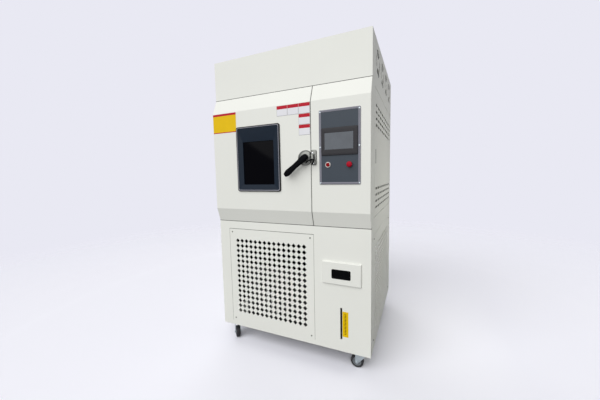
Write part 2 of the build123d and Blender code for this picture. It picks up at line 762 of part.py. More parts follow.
def service_latch():
    """Flush pull paddle on a cross pin."""
    paddle = block(
        PADDLE_X - PADDLE_T / 2,
        PADDLE_X + PADDLE_T / 2,
        PULL_Y0 + PADDLE_GAP,
        PULL_Y1 - PADDLE_GAP,
        PULL_Z0 + PADDLE_GAP,
        PULL_Z1 - PADDLE_GAP,
    )
    return paddle + pin_bar(
        PADDLE_PIN_R, (PADDLE_X, PULL_Y0 - SHEET, PADDLE_Z), (PADDLE_X, PULL_Y1 + SHEET, PADDLE_Z)
    )


def rear_panel():
    """Rear sheet with exhaust slots for the condenser air."""
    first_z = GRILLE_Z + REAR_SLOT_RISE
    holes = [
        oblong(REAR_SLOT_X, REAR_SLOT_X + REAR_SLOT_W, first_z + row * SLOT_PITCH, REAR_SLOT_H)
        for row in range(REAR_SLOTS)
    ]
    return front_sheet(0, BODY_W, GRILLE_Z, SEAM_Z, BODY_D - SHEET, SHEET, holes)


def fan_spots():
    """Where each hood fan's axis crosses the right side, front to back."""
    return [(FAN_FIRST_Y + FAN_PITCH * index, SEAM_Z + FAN_RISE) for index in range(FAN_COUNT)]


def guard_cutters(y, z):
    """The slots of one pressed finger guard, in a ring round its blank centre."""
    cutters = []
    half = pi / GUARD_SLOTS
    for index in range(GUARD_SLOTS):
        centre = 2 * half * (index + 0.5)
        points = []
        for radius, side in ((GUARD_HUB_R, -1), (FAN_R, -1), (FAN_R, 0), (FAN_R, 1), (GUARD_HUB_R, 1)):
            angle = centre + side * (half - GUARD_WEB / 2 / radius)
            points.append((BODY_W + CUT_PAST, y + radius * cos(angle), z + radius * sin(angle)))
        cutters.append(extrude(Face(Wire.make_polygon(points)), SHEET + 2 * CUT_PAST, dir=(-1, 0, 0)))
    return cutters


def hood():
    """Top cover: a folded box, open underneath behind a narrow return, with four fan guards."""
    box = block(0, BODY_W, HOOD_BACK, BODY_D, SEAM_Z, TOP_Z)
    front_edges = box.edges().filter_by(Axis.Z).group_by(Axis.Y)[0]
    box = fillet(box.edges().group_by(Axis.Z)[-1] + front_edges, EDGE_R)
    inside = block(SHEET, BODY_W - SHEET, HOOD_BACK + SHEET, BODY_D - SHEET, SEAM_Z + SHEET, TOP_Z - SHEET)
    mouth = block(
        FLANGE, BODY_W - FLANGE, HOOD_BACK + FLANGE, BODY_D - FLANGE, SEAM_Z - CUT_PAST, SEAM_Z + SHEET
    )
    cover = box - inside - mouth
    for y, z in fan_spots():
        cover = cover - guard_cutters(y, z)
    return cover


def fan_frames():
    """Square axial-fan frames with a motor bridge and a fixed shaft."""
    frames = []
    half = FAN_FRAME / 2
    outer_x, inner_x = BODY_W - SHEET, BODY_W - SHEET - FAN_FRAME_T
    for y, z in fan_spots():
        ring = block(inner_x, outer_x, y - half, y + half, z - half, z + half) - Plane(
            origin=(inner_x, y, z), z_dir=(1, 0, 0)
        ) * extrude(RegularPolygon(FAN_R + FAN_CLEAR, 12), FAN_FRAME_T)
        bridge_x, rise = inner_x + FAN_BRIDGE_T, FAN_BRIDGE_W / 2
        bridge = block(inner_x, bridge_x, y - half, y + half, z - rise, z + rise)
        shaft = pin_bar(FAN_SHAFT_R, (bridge_x, y, z), (outer_x - FAN_SHAFT_END, y, z))
        frames.append(ring + bridge + shaft)
    return frames


def fan_rotor(y, z):
    """Hood fan rotor: a hub and tilted blades."""
    hub_x = BODY_W - SHEET - FAN_FRAME_T + FAN_BRIDGE_T + RUNNING
    hub = extrude(RegularPolygon(FAN_HUB_R, 10), FAN_HUB_T)
    inner_r, tip_r = FAN_HUB_R - FAN_CLEAR, FAN_R - FAN_CLEAR
    flat = Box(tip_r - inner_r, FAN_CHORD, FAN_BLADE_T)
    blade = Pos((inner_r + tip_r) / 2, 0, FAN_HUB_T / 2) * Rot(FAN_TILT, 0, 0) * flat
    blades = [Rot(0, 0, 360 * index / FAN_BLADES) * blade for index in range(FAN_BLADES)]
    rotor = hub + blades - pin_hole(FAN_SHAFT_R, (0, 0, 0), (0, 0, FAN_HUB_T))
    return Plane(origin=(hub_x, y, z), x_dir=(0, 1, 0), z_dir=(1, 0, 0)) * rotor


def chamber_liner():
    """Stainless inner box, open at the front, with a seating lip and the turntable's bearing cup."""
    x0, x1 = ROOM_X, ROOM_X + ROOM_W
    y1 = ROOM_Y + ROOM_D
    z0, z1 = ROOM_Z, ROOM_Z + ROOM_H
    walls = block(x0 - LINER_T, x1 + LINER_T, ROOM_Y, y1 + LINER_T, z0 - LINER_T, z1 + LINER_T)
    lip = block(x0 - LINER_LIP, x1 + LINER_LIP, ROOM_Y, ROOM_Y + LINER_T, z0 - LINER_LIP, z1 + LINER_LIP)
    low, high = (TABLE_X, TABLE_Y, z0), (TABLE_X, TABLE_Y, z0 + CUP_H)
    cup = pin_bar(SHAFT_R + CUP_WALL, low, high, ROUND_SIDES) - pin_hole(SHAFT_R, low, high, ROUND_SIDES)
    return walls + lip - block(x0, x1, ROOM_Y - CUT_PAST, y1, z0, z1) + cup


def insulation_jacket():
    """Rigid foam around the liner on five sides."""
    outer = block(
        SHEET,
        ROOM_X + ROOM_W + LINER_T + INSULATION_T,
        ROOM_Y + LINER_T,
        ROOM_Y + ROOM_D + LINER_T + INSULATION_T,
        ROOM_Z - LINER_T - INSULATION_T,
        ROOM_Z + ROOM_H + LINER_T + INSULATION_T,
    )
    inner = block(
        ROOM_X - LINER_T,
        ROOM_X + ROOM_W + LINER_T,
        ROOM_Y,
        ROOM_Y + ROOM_D + LINER_T,
        ROOM_Z - LINER_T,
        ROOM_Z + ROOM_H + LINER_T,
    )
    return outer - inner


def door_frame():
    """Flat front sheet round the workroom's mouth, which the door seal presses on."""
    x0, x1, z0, z1 = ROOM_X, ROOM_X + ROOM_W, ROOM_Z, ROOM_Z + ROOM_H
    mouth = [(x0, z0), (x1, z0), (x1, z1), (x0, z1)]
    return front_sheet(0, DOOR_W + SEAM + SHEET, WAIST_Z, SEAM_Z, FRAME_Y, SHEET, [mouth])


def reflector_section(x, grow, drop):
    """One section across the lamp reflector's trough."""
    top, flare = REFLECTOR_D / 2 + grow, REFLECTOR_D / 2 + REFLECTOR_FLARE + grow
    high, low = ROOM_TOP_Z - REFLECTOR_GAP + grow, ROOM_TOP_Z - REFLECTOR_GAP - REFLECTOR_H - drop
    y = TABLE_Y
    corners = [(y - top, high), (y + top, high), (y + flare, low), (y - flare, low)]
    return Face(Wire.make_polygon([(x, v, w) for v, w in corners]))


def lamp_reflector():
    """Folded trough over the lamps, closed at both ends and hung from two ceiling spacers."""
    x0, x1 = ROOM_X + REFLECTOR_END, ROOM_X + ROOM_W - REFLECTOR_END
    trough = extrude(reflector_section(x0, 0, 0), x1 - x0, dir=(1, 0, 0))
    trough -= extrude(reflector_section(x0 + SHEET, -SHEET, CUT_PAST), x1 - x0 - 2 * SHEET, dir=(1, 0, 0))
    half = SPACER_D / 2
    for x in (x0 + REFLECTOR_END, x1 - REFLECTOR_END - SPACER_W):
        trough += block(
            x, x + SPACER_W, TABLE_Y - half, TABLE_Y + half, ROOM_TOP_Z - REFLECTOR_GAP, ROOM_TOP_Z
        )
    return trough


def xenon_lamps():
    """Quartz lamps side by side between the reflector's end plates."""
    x0, x1 = ROOM_X + REFLECTOR_END + SHEET, ROOM_X + ROOM_W - REFLECTOR_END - SHEET
    z = ROOM_TOP_Z - LAMP_DROP
    spacing = REFLECTOR_D / LAMP_COUNT
    first = TABLE_Y - spacing * (LAMP_COUNT - 1) / 2
    rows = [first + n * spacing for n in range(LAMP_COUNT)]
    return [pin_bar(LAMP_R, (x0, y, z), (x1, y, z), ROUND_SIDES // 2) for y in rows]


def turntable():
    """Round specimen table on a shaft that turns in the bearing cup."""
    low = ROOM_Z + TABLE_RISE
    disc = pin_bar(TABLE_R, (TABLE_X, TABLE_Y, low), (TABLE_X, TABLE_Y, low + TABLE_T), 2 * ROUND_SIDES)
    shaft = pin_bar(SHAFT_R, (TABLE_X, TABLE_Y, ROOM_Z + RUNNING), (TABLE_X, TABLE_Y, low), ROUND_SIDES)
    return disc + shaft


def window_box(margin, y0, y1):
    """A box along the door's window opening, larger than the clear pane by margin."""
    return block(
        PANE_X - margin, PANE_X + PANE_W + margin, y0, y1, PANE_Z - margin, PANE_Z + PANE_H + margin
    )


def door_shell():
    """Outer door skin with the window cut-out."""
    skin = belly_shell(0, DOOR_W, DOOR_BACK_Y - SHEET)
    return skin - window_box(PANE_REST + RUNNING, BELLY_Y - CUT_PAST, BELLY_Y + SHEET + CUT_PAST)


def door_liner():
    """Inner door sheet with its pressed plug and the sleeve round the window."""
    plug_x0, plug_x1 = ROOM_X + DOOR_PLUG_GAP, ROOM_X + ROOM_W - DOOR_PLUG_GAP
    plug_z0, plug_z1 = ROOM_Z + DOOR_PLUG_GAP, ROOM_Z + ROOM_H - DOOR_PLUG_GAP
    plug_y = DOOR_BACK_Y + DOOR_PLUG_D
    plate = block(0, DOOR_W, DOOR_BACK_Y - SHEET, DOOR_BACK_Y, WAIST_Z + SEAM, SEAM_Z - SEAM)
    plug = block(plug_x0, plug_x1, DOOR_BACK_Y, plug_y, plug_z0, plug_z1)
    hollow = block(
        plug_x0 + LINER_T,
        plug_x1 - LINER_T,
        DOOR_BACK_Y - SHEET,
        plug_y - LINER_T,
        plug_z0 + LINER_T,
        plug_z1 - LINER_T,
    )
    sleeve_y = BELLY_Y + PANE_T
    sleeve = window_box(PANE_REST, sleeve_y, plug_y) - window_box(0, sleeve_y, plug_y)
    return plate + plug - hollow - window_box(0, DOOR_BACK_Y, plug_y) + sleeve


def door_gasket():
    """Rubber seal round the plug."""
    y0, y1 = DOOR_BACK_Y, DOOR_BACK_Y + GASKET_T
    x0, x1 = ROOM_X + DOOR_PLUG_GAP, ROOM_X + ROOM_W - DOOR_PLUG_GAP
    z0, z1 = ROOM_Z + DOOR_PLUG_GAP, ROOM_Z + ROOM_H - DOOR_PLUG_GAP
    w = GASKET_W
    return block(x0 - w, x1 + w, y0, y1, z0 - w, z1 + w) - block(x0, x1, y0, y1, z0, z1)


def window_frame():
    """Moulded window surround: raised rim, stepped down to a wide sloping face round the pane."""
    x0, x1 = WINDOW_X, WINDOW_X + WINDOW_W
    z0, z1 = WINDOW_Z, WINDOW_Z + WINDOW_H
    rim = rounded_bar(x0, x1, z0, z1, BELLY_Y - WINDOW_PROUD, BELLY_Y, WINDOW_R)
    rim = chamfer(rim.faces().sort_by(Axis.Y)[0].edges(), WINDOW_CHAMFER)
    front, floor = BELLY_Y - WINDOW_PROUD, BELLY_Y - WELL_FLOOR
    well = rounded_bar(
        x0 + RIM_W, x1 - RIM_W, z0 + RIM_W, z1 - RIM_W, front, floor, WINDOW_R - RIM_W / 2
    )
    pane = rounded_bar(
        PANE_X, PANE_X + PANE_W, PANE_Z, PANE_Z + PANE_H, BELLY_Y - WINDOW_PROUD, BELLY_Y, PANE_R
    )
    return rim - well - pane


def window_glass():
    """Outer pane behind the surround and inner pane at the plug's face."""
    outer = window_box(PANE_REST, BELLY_Y, BELLY_Y + PANE_T)
    plug_y = DOOR_BACK_Y + DOOR_PLUG_D
    inner = window_box(0, plug_y - PANE_T - RUNNING, plug_y - RUNNING)
    return outer, inner


def hinge_spots():
    """The lower end of each door hinge."""
    return [WAIST_Z + HINGE_INSET, SEAM_Z - HINGE_INSET - 2 * KNUCKLE_H]


def door_hinge_fixed():
    """Lower knuckles, leaves and pins, fixed to the left side sheet."""
    pieces = []
    for z in hinge_spots():
        knuckle = rod(KNUCKLE_R, (HINGE_X, HINGE_Y, z), (HINGE_X, HINGE_Y, z + KNUCKLE_H))
        web = block(HINGE_X, 0, HINGE_Y + KNUCKLE_R - LEAF_T, HINGE_Y + KNUCKLE_R, z, z + KNUCKLE_H)
        leaf = block(-LEAF_T, 0, HINGE_Y + KNUCKLE_R - LEAF_T, HINGE_Y + LEAF_W, z, z + 2 * KNUCKLE_H)
        pin_end = z + 2 * KNUCKLE_H - LEAF_T
        pin = pin_bar(HINGE_PIN_R, (HINGE_X, HINGE_Y, z + KNUCKLE_H), (HINGE_X, HINGE_Y, pin_end))
        pieces.append(knuckle + web + leaf + pin)
    return pieces


def door_hinge_leaves():
    """Upper knuckles and leaves, fixed to the door's left edge; they lift off the pins."""
    pieces = []
    for z in hinge_spots():
        low, high = z + KNUCKLE_H + RUNNING, z + 2 * KNUCKLE_H
        knuckle = rod(KNUCKLE_R, (HINGE_X, HINGE_Y, low), (HINGE_X, HINGE_Y, high))
        web = block(HINGE_X, 0, HINGE_Y - KNUCKLE_R, HINGE_Y - KNUCKLE_R + LEAF_T, low, high)
        leaf_end = min(HINGE_Y - KNUCKLE_R + LEAF_T, DOOR_BACK_Y)
        leaf = block(-LEAF_T, 0, DOOR_BACK_Y - LEAF_W, leaf_end, z, high)
        bore = pin_hole(HINGE_PIN_R, (HINGE_X, HINGE_Y, low), (HINGE_X, HINGE_Y, high))
        pieces.append(knuckle + web + leaf - bore)
    return pieces


def latch_base():
    """Chrome rose on the door, cut straight at the seam, with the hub and spindle of the lever."""
    face_y = BELLY_Y - LATCH_BASE_T
    rose = pin_bar(LATCH_BASE_R, (LATCH_X, BELLY_Y, LATCH_Z), (LATCH_X, face_y, LATCH_Z), 2 * ROUND_SIDES)
    rose = chamfer(rose.faces().sort_by(Axis.Y)[0].edges(), LATCH_BASE_T / 2)
    r = LATCH_BASE_R
    rose -= block(DOOR_W - SEAM / 2, DOOR_W + r, face_y, BELLY_Y, LATCH_Z - r, LATCH_Z + r)
    hub_end = (LATCH_X, LEVER_Y + RUNNING, LATCH_Z)
    hub = pin_bar(LATCH_HUB_R, (LATCH_X, face_y, LATCH_Z), hub_end, ROUND_SIDES)
    spindle = pin_bar(SPINDLE_R, (LATCH_X, face_y, LATCH_Z), (LATCH_X, LEVER_Y - LEVER_T + SHEET, LATCH_Z))
    return rose + hub + spindle


def latch_lever():
    """Black moulded lever: a waisted handle that swells to a grip, and a short nose over the keeper."""
    half_widths = [
        (-0.08, LEVER_ROOT_W * 0.36),
        (0.0, LEVER_ROOT_W * 0.5),
        (0.13, LEVER_ROOT_W * 0.46),
        (0.35, LEVER_NECK_W * 0.5),
        (0.55, LEVER_NECK_W * 0.58),
        (0.75, LEVER_GRIP_W * 0.5),
        (0.88, LEVER_GRIP_W * 0.47),
        (1.0, LEVER_TIP_W * 0.5),
    ]
    lower = [(share * LEVER_LENGTH, -half) for share, half in half_widths]
    upper = [(share * LEVER_LENGTH, half) for share, half in reversed(half_widths)]
    handle = extrude(Face(Wire.make_polygon([(x, y, 0) for x, y in lower + upper])), LEVER_T)
    handle = chamfer(handle.faces().sort_by(Axis.Z)[-1].edges(), LEVER_T * 0.3)
    nose = Rot(0, 0, 180 + LEVER_DROOP) * extrude(
        Pos(LEVER_NOSE / 2 + SPINDLE_R, 0) * Rectangle(LEVER_NOSE, LEVER_ROOT_W * 0.65), LEVER_T * 0.7
    )
    lever = handle + nose - pin_hole(SPINDLE_R, (0, 0, 0), (0, 0, LEVER_T))
    droop = radians(LEVER_DROOP)
    place = Plane(
        origin=(LATCH_X, LEVER_Y, LATCH_Z), x_dir=(-cos(droop), 0, -sin(droop)), z_dir=(0, -1, 0)
    )
    return place * lever


def strike_plate():
    """Chrome keeper on the control section, with a raised lug under the lever's nose."""
    x0 = DOOR_W + SEAM
    half_h, half_lug = KEEPER_H / 2, KEEPER_W / 2
    face_y = BELLY_Y - KEEPER_T
    plate = rounded_bar(x0, x0 + KEEPER_W, LATCH_Z - half_h, LATCH_Z + half_h, face_y, BELLY_Y, KEEPER_R)
    lug_x0, lug_x1, lug_y = x0 + LUG_LEFT, x0 + KEEPER_W - LUG_RIGHT, BELLY_Y - KEEPER_LUG
    return plate + block(lug_x0, lug_x1, lug_y, face_y, LATCH_Z - half_lug, LATCH_Z + half_lug)


def control_fascia():
    """Bevelled cover of the control section, cut out behind the instrument plate."""
    shell = belly_shell(DOOR_W + SEAM, BODY_W, FRAME_Y)
    return shell - block(
        PLATE_X + PLATE_REST,
        PLATE_X + PLATE_W - PLATE_REST,
        BELLY_Y - CUT_PAST,
        BELLY_Y + SHEET + CUT_PAST,
        PLATE_Z + PLATE_REST,
        PLATE_Z + PLATE_H - PLATE_REST,
    )


def button_spots():
    """Centres of the power button and the stop button."""
    z = PLATE_Z + BUTTON_RISE
    return [(PLATE_X + BUTTON_FROM_EDGE, z), (PLATE_X + PLATE_W - STOP_FROM_EDGE, z)]


def hmi_cutout(y0, y1):
    """The box behind the operator panel's bezel."""
    lip = HMI_LIP
    return block(HMI_X + lip, HMI_X + HMI_W - lip, y0, y1, HMI_Z + lip, HMI_Z + HMI_H - lip)


def instrument_plate():
    """Flat plate that carries the operator panel and the two push buttons."""
    y0, y1 = BELLY_Y - PLATE_T, BELLY_Y
    plate = rounded_bar(PLATE_X, PLATE_X + PLATE_W, PLATE_Z, PLATE_Z + PLATE_H, y0, y1, PLATE_R)
    plate -= hmi_cutout(y0, y1)
    for x, z in button_spots():
        plate -= pin_bar(SLEEVE_R, (x, y0, z), (x, y1, z), ROUND_SIDES)
    return plate


def screen_box(y0, y1):
    """A box over the whole touch screen."""
    return block(SCREEN_X, SCREEN_X + SCREEN_W, y0, y1, SCREEN_Z, SCREEN_Z + SCREEN_H)


def hmi_housing():
    """Operator panel: bezel in front of the plate, body behind it, and a seat for the screen."""
    plate_y = BELLY_Y - PLATE_T
    front = plate_y - HMI_T
    bezel = rounded_bar(HMI_X, HMI_X + HMI_W, HMI_Z, HMI_Z + HMI_H, front, plate_y, HMI_R)
    body = hmi_cutout(plate_y, plate_y + HMI_DEPTH)
    return bezel + body - screen_box(front, front + SCREEN_SINK + SCREEN_T)


def hmi_screen():
    """Touch glass, sunk a little below the bezel."""
    front = BELLY_Y - PLATE_T - HMI_T + SCREEN_SINK
    return screen_box(front, front + SCREEN_T)


def button_collars():
    """Metal rings in front of the plate, each with the flatted sleeve that guides its button."""
    plate_y = BELLY_Y - PLATE_T
    collars = []
    for x, z in button_spots():
        ring = tube(COLLAR_R, BUTTON_R + RUNNING, (x, plate_y - COLLAR_T, z), (x, plate_y, z))
        sleeve = pin_bar(SLEEVE_R, (x, plate_y, z), (x, BELLY_Y + SLEEVE_D, z))
        bore = pin_hole(STEM_R, (x, plate_y, z), (x, BELLY_Y + SLEEVE_D, z))
        collars.append(ring + sleeve - bore)
    return collars


def push_button(x, z):
    """Flush push button: a flatted stem in the sleeve and a cap in the ring."""
    plate_y = BELLY_Y - PLATE_T
    back = plate_y - BUTTON_TRAVEL - RUNNING
    cap = pin_bar(BUTTON_R, (x, plate_y - COLLAR_T - BUTTON_PROUD, z), (x, back, z), ROUND_SIDES)
    return cap + pin_bar(STEM_R, (x, back, z), (x, BELLY_Y + SLEEVE_D - BUTTON_TRAVEL, z))


def mushroom_button(x, z):
    """The stop button: a push button under a wide bevelled head."""
    head_back = BELLY_Y - PLATE_T - COLLAR_T - BUTTON_TRAVEL - RUNNING
    head = pin_bar(STOP_R, (x, head_back - STOP_T, z), (x, head_back, z), ROUND_SIDES)
    head = chamfer(head.faces().sort_by(Axis.Y)[0].edges(), STOP_BEVEL)
    neck = pin_bar(BUTTON_R, (x, head_back, z), (x, BELLY_Y - PLATE_T - COLLAR_T, z), ROUND_SIDES)
    return head + neck + push_button(x, z)


def drawer_front():
    """Raised drawer front with a hole for the finger pull and two flanges that carry the tank."""
    face_y, back_y = -DRAWER_T - RUNNING, -RUNNING
    plate = rounded_bar(
        DRAWER_X, DRAWER_X + DRAWER_W, DRAWER_Z, DRAWER_Z + DRAWER_H, face_y, back_y, DRAWER_R
    )
    plate = chamfer(plate.faces().sort_by(Axis.Y)[0].edges(), DRAWER_BEVEL)
    for x in (TANK_X, TANK_X + TANK_W - TANK_WALL):
        plate += block(x, x + TANK_WALL, back_y, TANK_Y, TANK_Z, TANK_Z + TANK_H)
    return plate - pull_cup(TANK_WALL, face_y, back_y)


def pull_cup(inset, y0, y1):
    """A box over the finger pull, set in all round."""
    return block(
        PULL_CUP_X + inset,
        PULL_CUP_X + PULL_CUP_W - inset,
        y0,
        y1,
        PULL_CUP_Z + inset,
        PULL_CUP_Z + PULL_CUP_H - inset,
    )


def drawer_pull():
    """Black moulded finger pull: a rim on the drawer front and a cup behind it."""
    face_y = -DRAWER_T - RUNNING
    x1, z1 = PULL_CUP_X + PULL_CUP_W, PULL_CUP_Z + PULL_CUP_H
    rim = rounded_bar(PULL_CUP_X, x1, PULL_CUP_Z, z1, face_y - SHEET, face_y, DRAWER_R)
    cup = pull_cup(TANK_WALL, face_y, face_y + PULL_CUP_D)
    return rim + cup - pull_cup(2 * TANK_WALL, face_y - SHEET, face_y + PULL_CUP_D - SHEET)


def water_tank():
    """Open-topped water tank behind the drawer front."""
    t = TANK_WALL
    outer = block(TANK_X, TANK_X + TANK_W, TANK_Y, TANK_Y + TANK_D, TANK_Z, TANK_Z + TANK_H)
    inner = block(
        TANK_X + t, TANK_X + TANK_W - t, TANK_Y + t, TANK_Y + TANK_D - t, TANK_Z + t, TANK_Z + TANK_H
    )
    return outer - inner


def drawer_rails():
    """Two angle rails welded behind the front sheet, under the tank's edges."""
    rails = []
    top, back = TANK_Z - RUNNING, TANK_Y + TANK_D + RAIL_SPARE
    for side, x in ((-1, TANK_X - RUNNING), (1, TANK_X + TANK_W + RUNNING)):
        wall = sorted((x, x + side * RAIL_T))
        ledge = sorted((x + side * RAIL_T, x - side * RAIL_LEDGE))
        upright = block(*wall, SHEET, back, top - RAIL_T, top + RAIL_H)
        rails.append(upright + block(*ledge, 2 * SHEET, back, top - RAIL_T, top))
    return rails


def sight_gauge():
    """Clear level tube behind the front slot, between two brass elbows."""
    y = SHEET + RUNNING + TUBE_R
    low, high = GAUGE_Z - GAUGE_END, GAUGE_Z + GAUGE_H + GAUGE_END
    glass = tube(TUBE_R, TUBE_R - TUBE_WALL, (GAUGE_X, y, low), (GAUGE_X, y, high))
    half = ELBOW_W / 2
    elbows = [
        block(GAUGE_X - half, GAUGE_X + half, SHEET, SHEET + ELBOW_D, z0, z0 + ELBOW_W)
        for z0 in (low - ELBOW_W, high)
    ]
    return [glass, *elbows]


def compressor():
    """Welded compressor shell with a domed lid, on its foot plate."""
    r = COMPRESSOR_R
    shell = pin_bar(r, (0, 0, FOOT_T), (0, 0, COMPRESSOR_H), ROUND_SIDES)
    shell = chamfer(shell.faces().sort_by(Axis.Z)[-1].edges(), COMPRESSOR_LID)
    foot = block(-r - FOOT_REACH, r + FOOT_REACH, -r, r, 0, FOOT_T)
    return Pos(COMPRESSOR_X, COMPRESSOR_Y, FLOOR_Z) * (shell + foot)


def condenser_coil():
    """Finned condenser block in its end frame, behind the front grille."""
    x0, x1, y0, y1 = CONDENSER_X, CONDENSER_X + CONDENSER_W, CONDENSER_Y, CONDENSER_Y + CONDENSER_D
    z0, z1 = FLOOR_Z, FLOOR_Z + CONDENSER_H
    frame = block(x0, x1, y0, y1, z0, z1) - block(x0 + SHEET, x1 - SHEET, y0, y1, z0 + SHEET, z1 - SHEET)
    pitch = CONDENSER_W / (CONDENSER_FINS + 1)
    for index in range(1, CONDENSER_FINS + 1):
        x = x0 + index * pitch
        frame += block(
            x - SHEET / 2, x + SHEET / 2, y0 + FIN_INSET, y1 - FIN_INSET, z0 + SHEET, z1 - SHEET
        )
    return frame


def condenser_shroud():
    """Fan plate behind the condenser with a motor bridge and fixed shaft."""
    x0, x1, y0 = CONDENSER_X, CONDENSER_X + CONDENSER_W, CONDENSER_Y + CONDENSER_D
    z0, z1 = FLOOR_Z, FLOOR_Z + CONDENSER_H
    port_r = COOLING_FAN_R + COOLING_CLEAR
    plate = block(x0, x1, y0, y0 + SHEET, z0, z1)
    plate -= pin_bar(port_r, (COOLING_X, y0, COOLING_Z), (COOLING_X, y0 + SHEET, COOLING_Z), 2 * ROUND_SIDES)
    near, far = y0 + SHEET, y0 + BRIDGE_D
    low, high = COOLING_Z - BRIDGE_W / 2, COOLING_Z + BRIDGE_W / 2
    bridge = block(x0, x1, far, far + BRIDGE_T, low, high)
    for x in (x0, x1 - BRIDGE_T):
        bridge += block(x, x + BRIDGE_T, near, far, low, high)
    shaft = pin_bar(SHAFT_R, (COOLING_X, far - BRIDGE_D / 2, COOLING_Z), (COOLING_X, far, COOLING_Z))
    return plate + bridge + shaft


def cooling_fan():
    """Condenser fan rotor."""
    depth = BRIDGE_D / 2
    hub = extrude(RegularPolygon(COOLING_HUB_R, 12), depth)
    inner_r, tip_r = COOLING_HUB_R - COOLING_CLEAR, COOLING_FAN_R - COOLING_CLEAR
    flat = Box(tip_r - inner_r, COOLING_CHORD, SHEET)
    blade = Pos((inner_r + tip_r) / 2, 0, depth / 2) * Rot(COOLING_TILT, 0, 0) * flat
    rotor = hub + [Rot(0, 0, 360 * index / COOLING_BLADES) * blade for index in range(COOLING_BLADES)]
    rotor -= pin_hole(SHAFT_R, (0, 0, 0), (0, 0, depth))
    near = CONDENSER_Y + CONDENSER_D + BRIDGE_D / 2 - RUNNING
    return Plane(origin=(COOLING_X, near, COOLING_Z), z_dir=(0, 1, 0)) * rotor


def electrical_panel():
    """Mounting plate in the control compartment with its switchgear and power supplies."""
    x = ROOM_X + ROOM_W + LINER_T + INSULATION_T
    y0, z0 = ROOM_Y + BACKPLATE_MARGIN, ROOM_Z
    pieces = [block(x, x + BACKPLATE_T, y0, ROOM_Y + ROOM_D, z0, ROOM_TOP_Z - BACKPLATE_MARGIN)]
    face = x + BACKPLATE_T
    rows = [
        (CONTACTORS, CONTACTOR_W, CONTACTOR_H, CONTACTOR_D),
        (SUPPLIES, SUPPLY_W, SUPPLY_H, SUPPLY_D),
        (BREAKERS, BREAKER_W, BREAKER_H, BREAKER_D),
    ]
    for row, (count, width, height, depth) in enumerate(rows):
        base = z0 + BACKPLATE_MARGIN + row * ROW_PITCH
        for index in range(count):
            start = y0 + ROW_START + index * (width + ROW_GAP)
            pieces.append(block(face, face + depth, start, start + width, base, base + height))
    return pieces


def rear_fittings():
    """Mains cable gland and drain nipple, both on the rear sheet."""
    place = Plane(origin=(GLAND_X, BODY_D, GLAND_Z), z_dir=(0, 1, 0))
    gland = place * extrude(RegularPolygon(GLAND_R, 6), GLAND_OUT)
    gland -= rod(GLAND_BORE_R, (GLAND_X, BODY_D, GLAND_Z), (GLAND_X, BODY_D + GLAND_OUT, GLAND_Z))
    near, far = (DRAIN_X, BODY_D, GLAND_Z), (DRAIN_X, BODY_D + DRAIN_OUT, GLAND_Z)
    return [gland, rod(DRAIN_R, near, far) - rod(DRAIN_BORE_R, near, far)]


def save(name, *pieces):
    """Writes one node. A node of several pieces keeps each of them as a solid of its own."""
    solids = [solid for piece in pieces for solid in piece.solids()]
    shape = solids[0] if len(solids) == 1 else Compound(solids)
    export_step(shape.moved(Location(-ORIGIN)), f"parts/{name}.step")


os.makedirs("parts", exist_ok=True)
save("base_frame", base_frame())
save("castor_plates", *castor_plates())
for castor, spot_x, spot_y, trail_angle in castor_spots():
    save(f"castor_fork_{castor}", castor_fork(spot_x, spot_y, trail_angle))
    save(f"castor_wheel_{castor}", castor_wheel(spot_x, spot_y, trail_angle))
save("lower_front_panel", lower_front_panel())
save("grille_panel", grille_panel())
save("panel_screws", *panel_screws())
save("left_side_panel", left_side_panel())
save("right_lower_panel", right_lower_panel())
save("right_grille_panel", right_grille_panel())
save("right_upper_panel", right_upper_panel())
save("rear_panel", rear_panel())
save("rear_fittings", *rear_fittings())
save("hood", hood())
save("fan_frames", *fan_frames())
for index, (fan_y, fan_z) in enumerate(fan_spots(), 1):
    save(f"fan_rotor_{index}", fan_rotor(fan_y, fan_z))
save("service_door", service_door())
save("service_latch", service_latch())
save("door_frame", door_frame())
save("chamber_liner", chamber_liner())
save("insulation_jacket", insulation_jacket())
save("lamp_reflector", lamp_reflector())
save("xenon_lamps", *xenon_lamps())
save("turntable", turntable())
save("door_shell", door_shell())
save("door_liner", door_liner())
save("door_gasket", door_gasket())
save("window_frame", window_frame())
save("window_glass", *window_glass())
save("door_hinge_fixed", *door_hinge_fixed())
save("door_hinge_leaves", *door_hinge_leaves())
save("latch_base", latch_base())
save("latch_lever", latch_lever())
save("strike_plate", strike_plate())
save("control_fascia", control_fascia())
save("instrument_plate", instrument_plate())
save("hmi_housing", hmi_housing())
save("hmi_screen", hmi_screen())
save("button_collars", *button_collars())
power_spot, stop_spot = button_spots()
save("power_button", push_button(*power_spot))
save("stop_button", mushroom_button(*stop_spot))
save("drawer_front", drawer_front())
save("drawer_pull", drawer_pull())
save("water_tank", water_tank())
save("drawer_rails", *drawer_rails())
save("sight_gauge", *sight_gauge())
save("compressor", compressor())
save("condenser_coil", condenser_coil())
save("condenser_shroud", condenser_shroud())
save("cooling_fan", cooling_fan())
save("electrical_panel", *electrical_panel())
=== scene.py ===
import json
import math

import bmesh
import bpy
from mathutils import Matrix, Vector


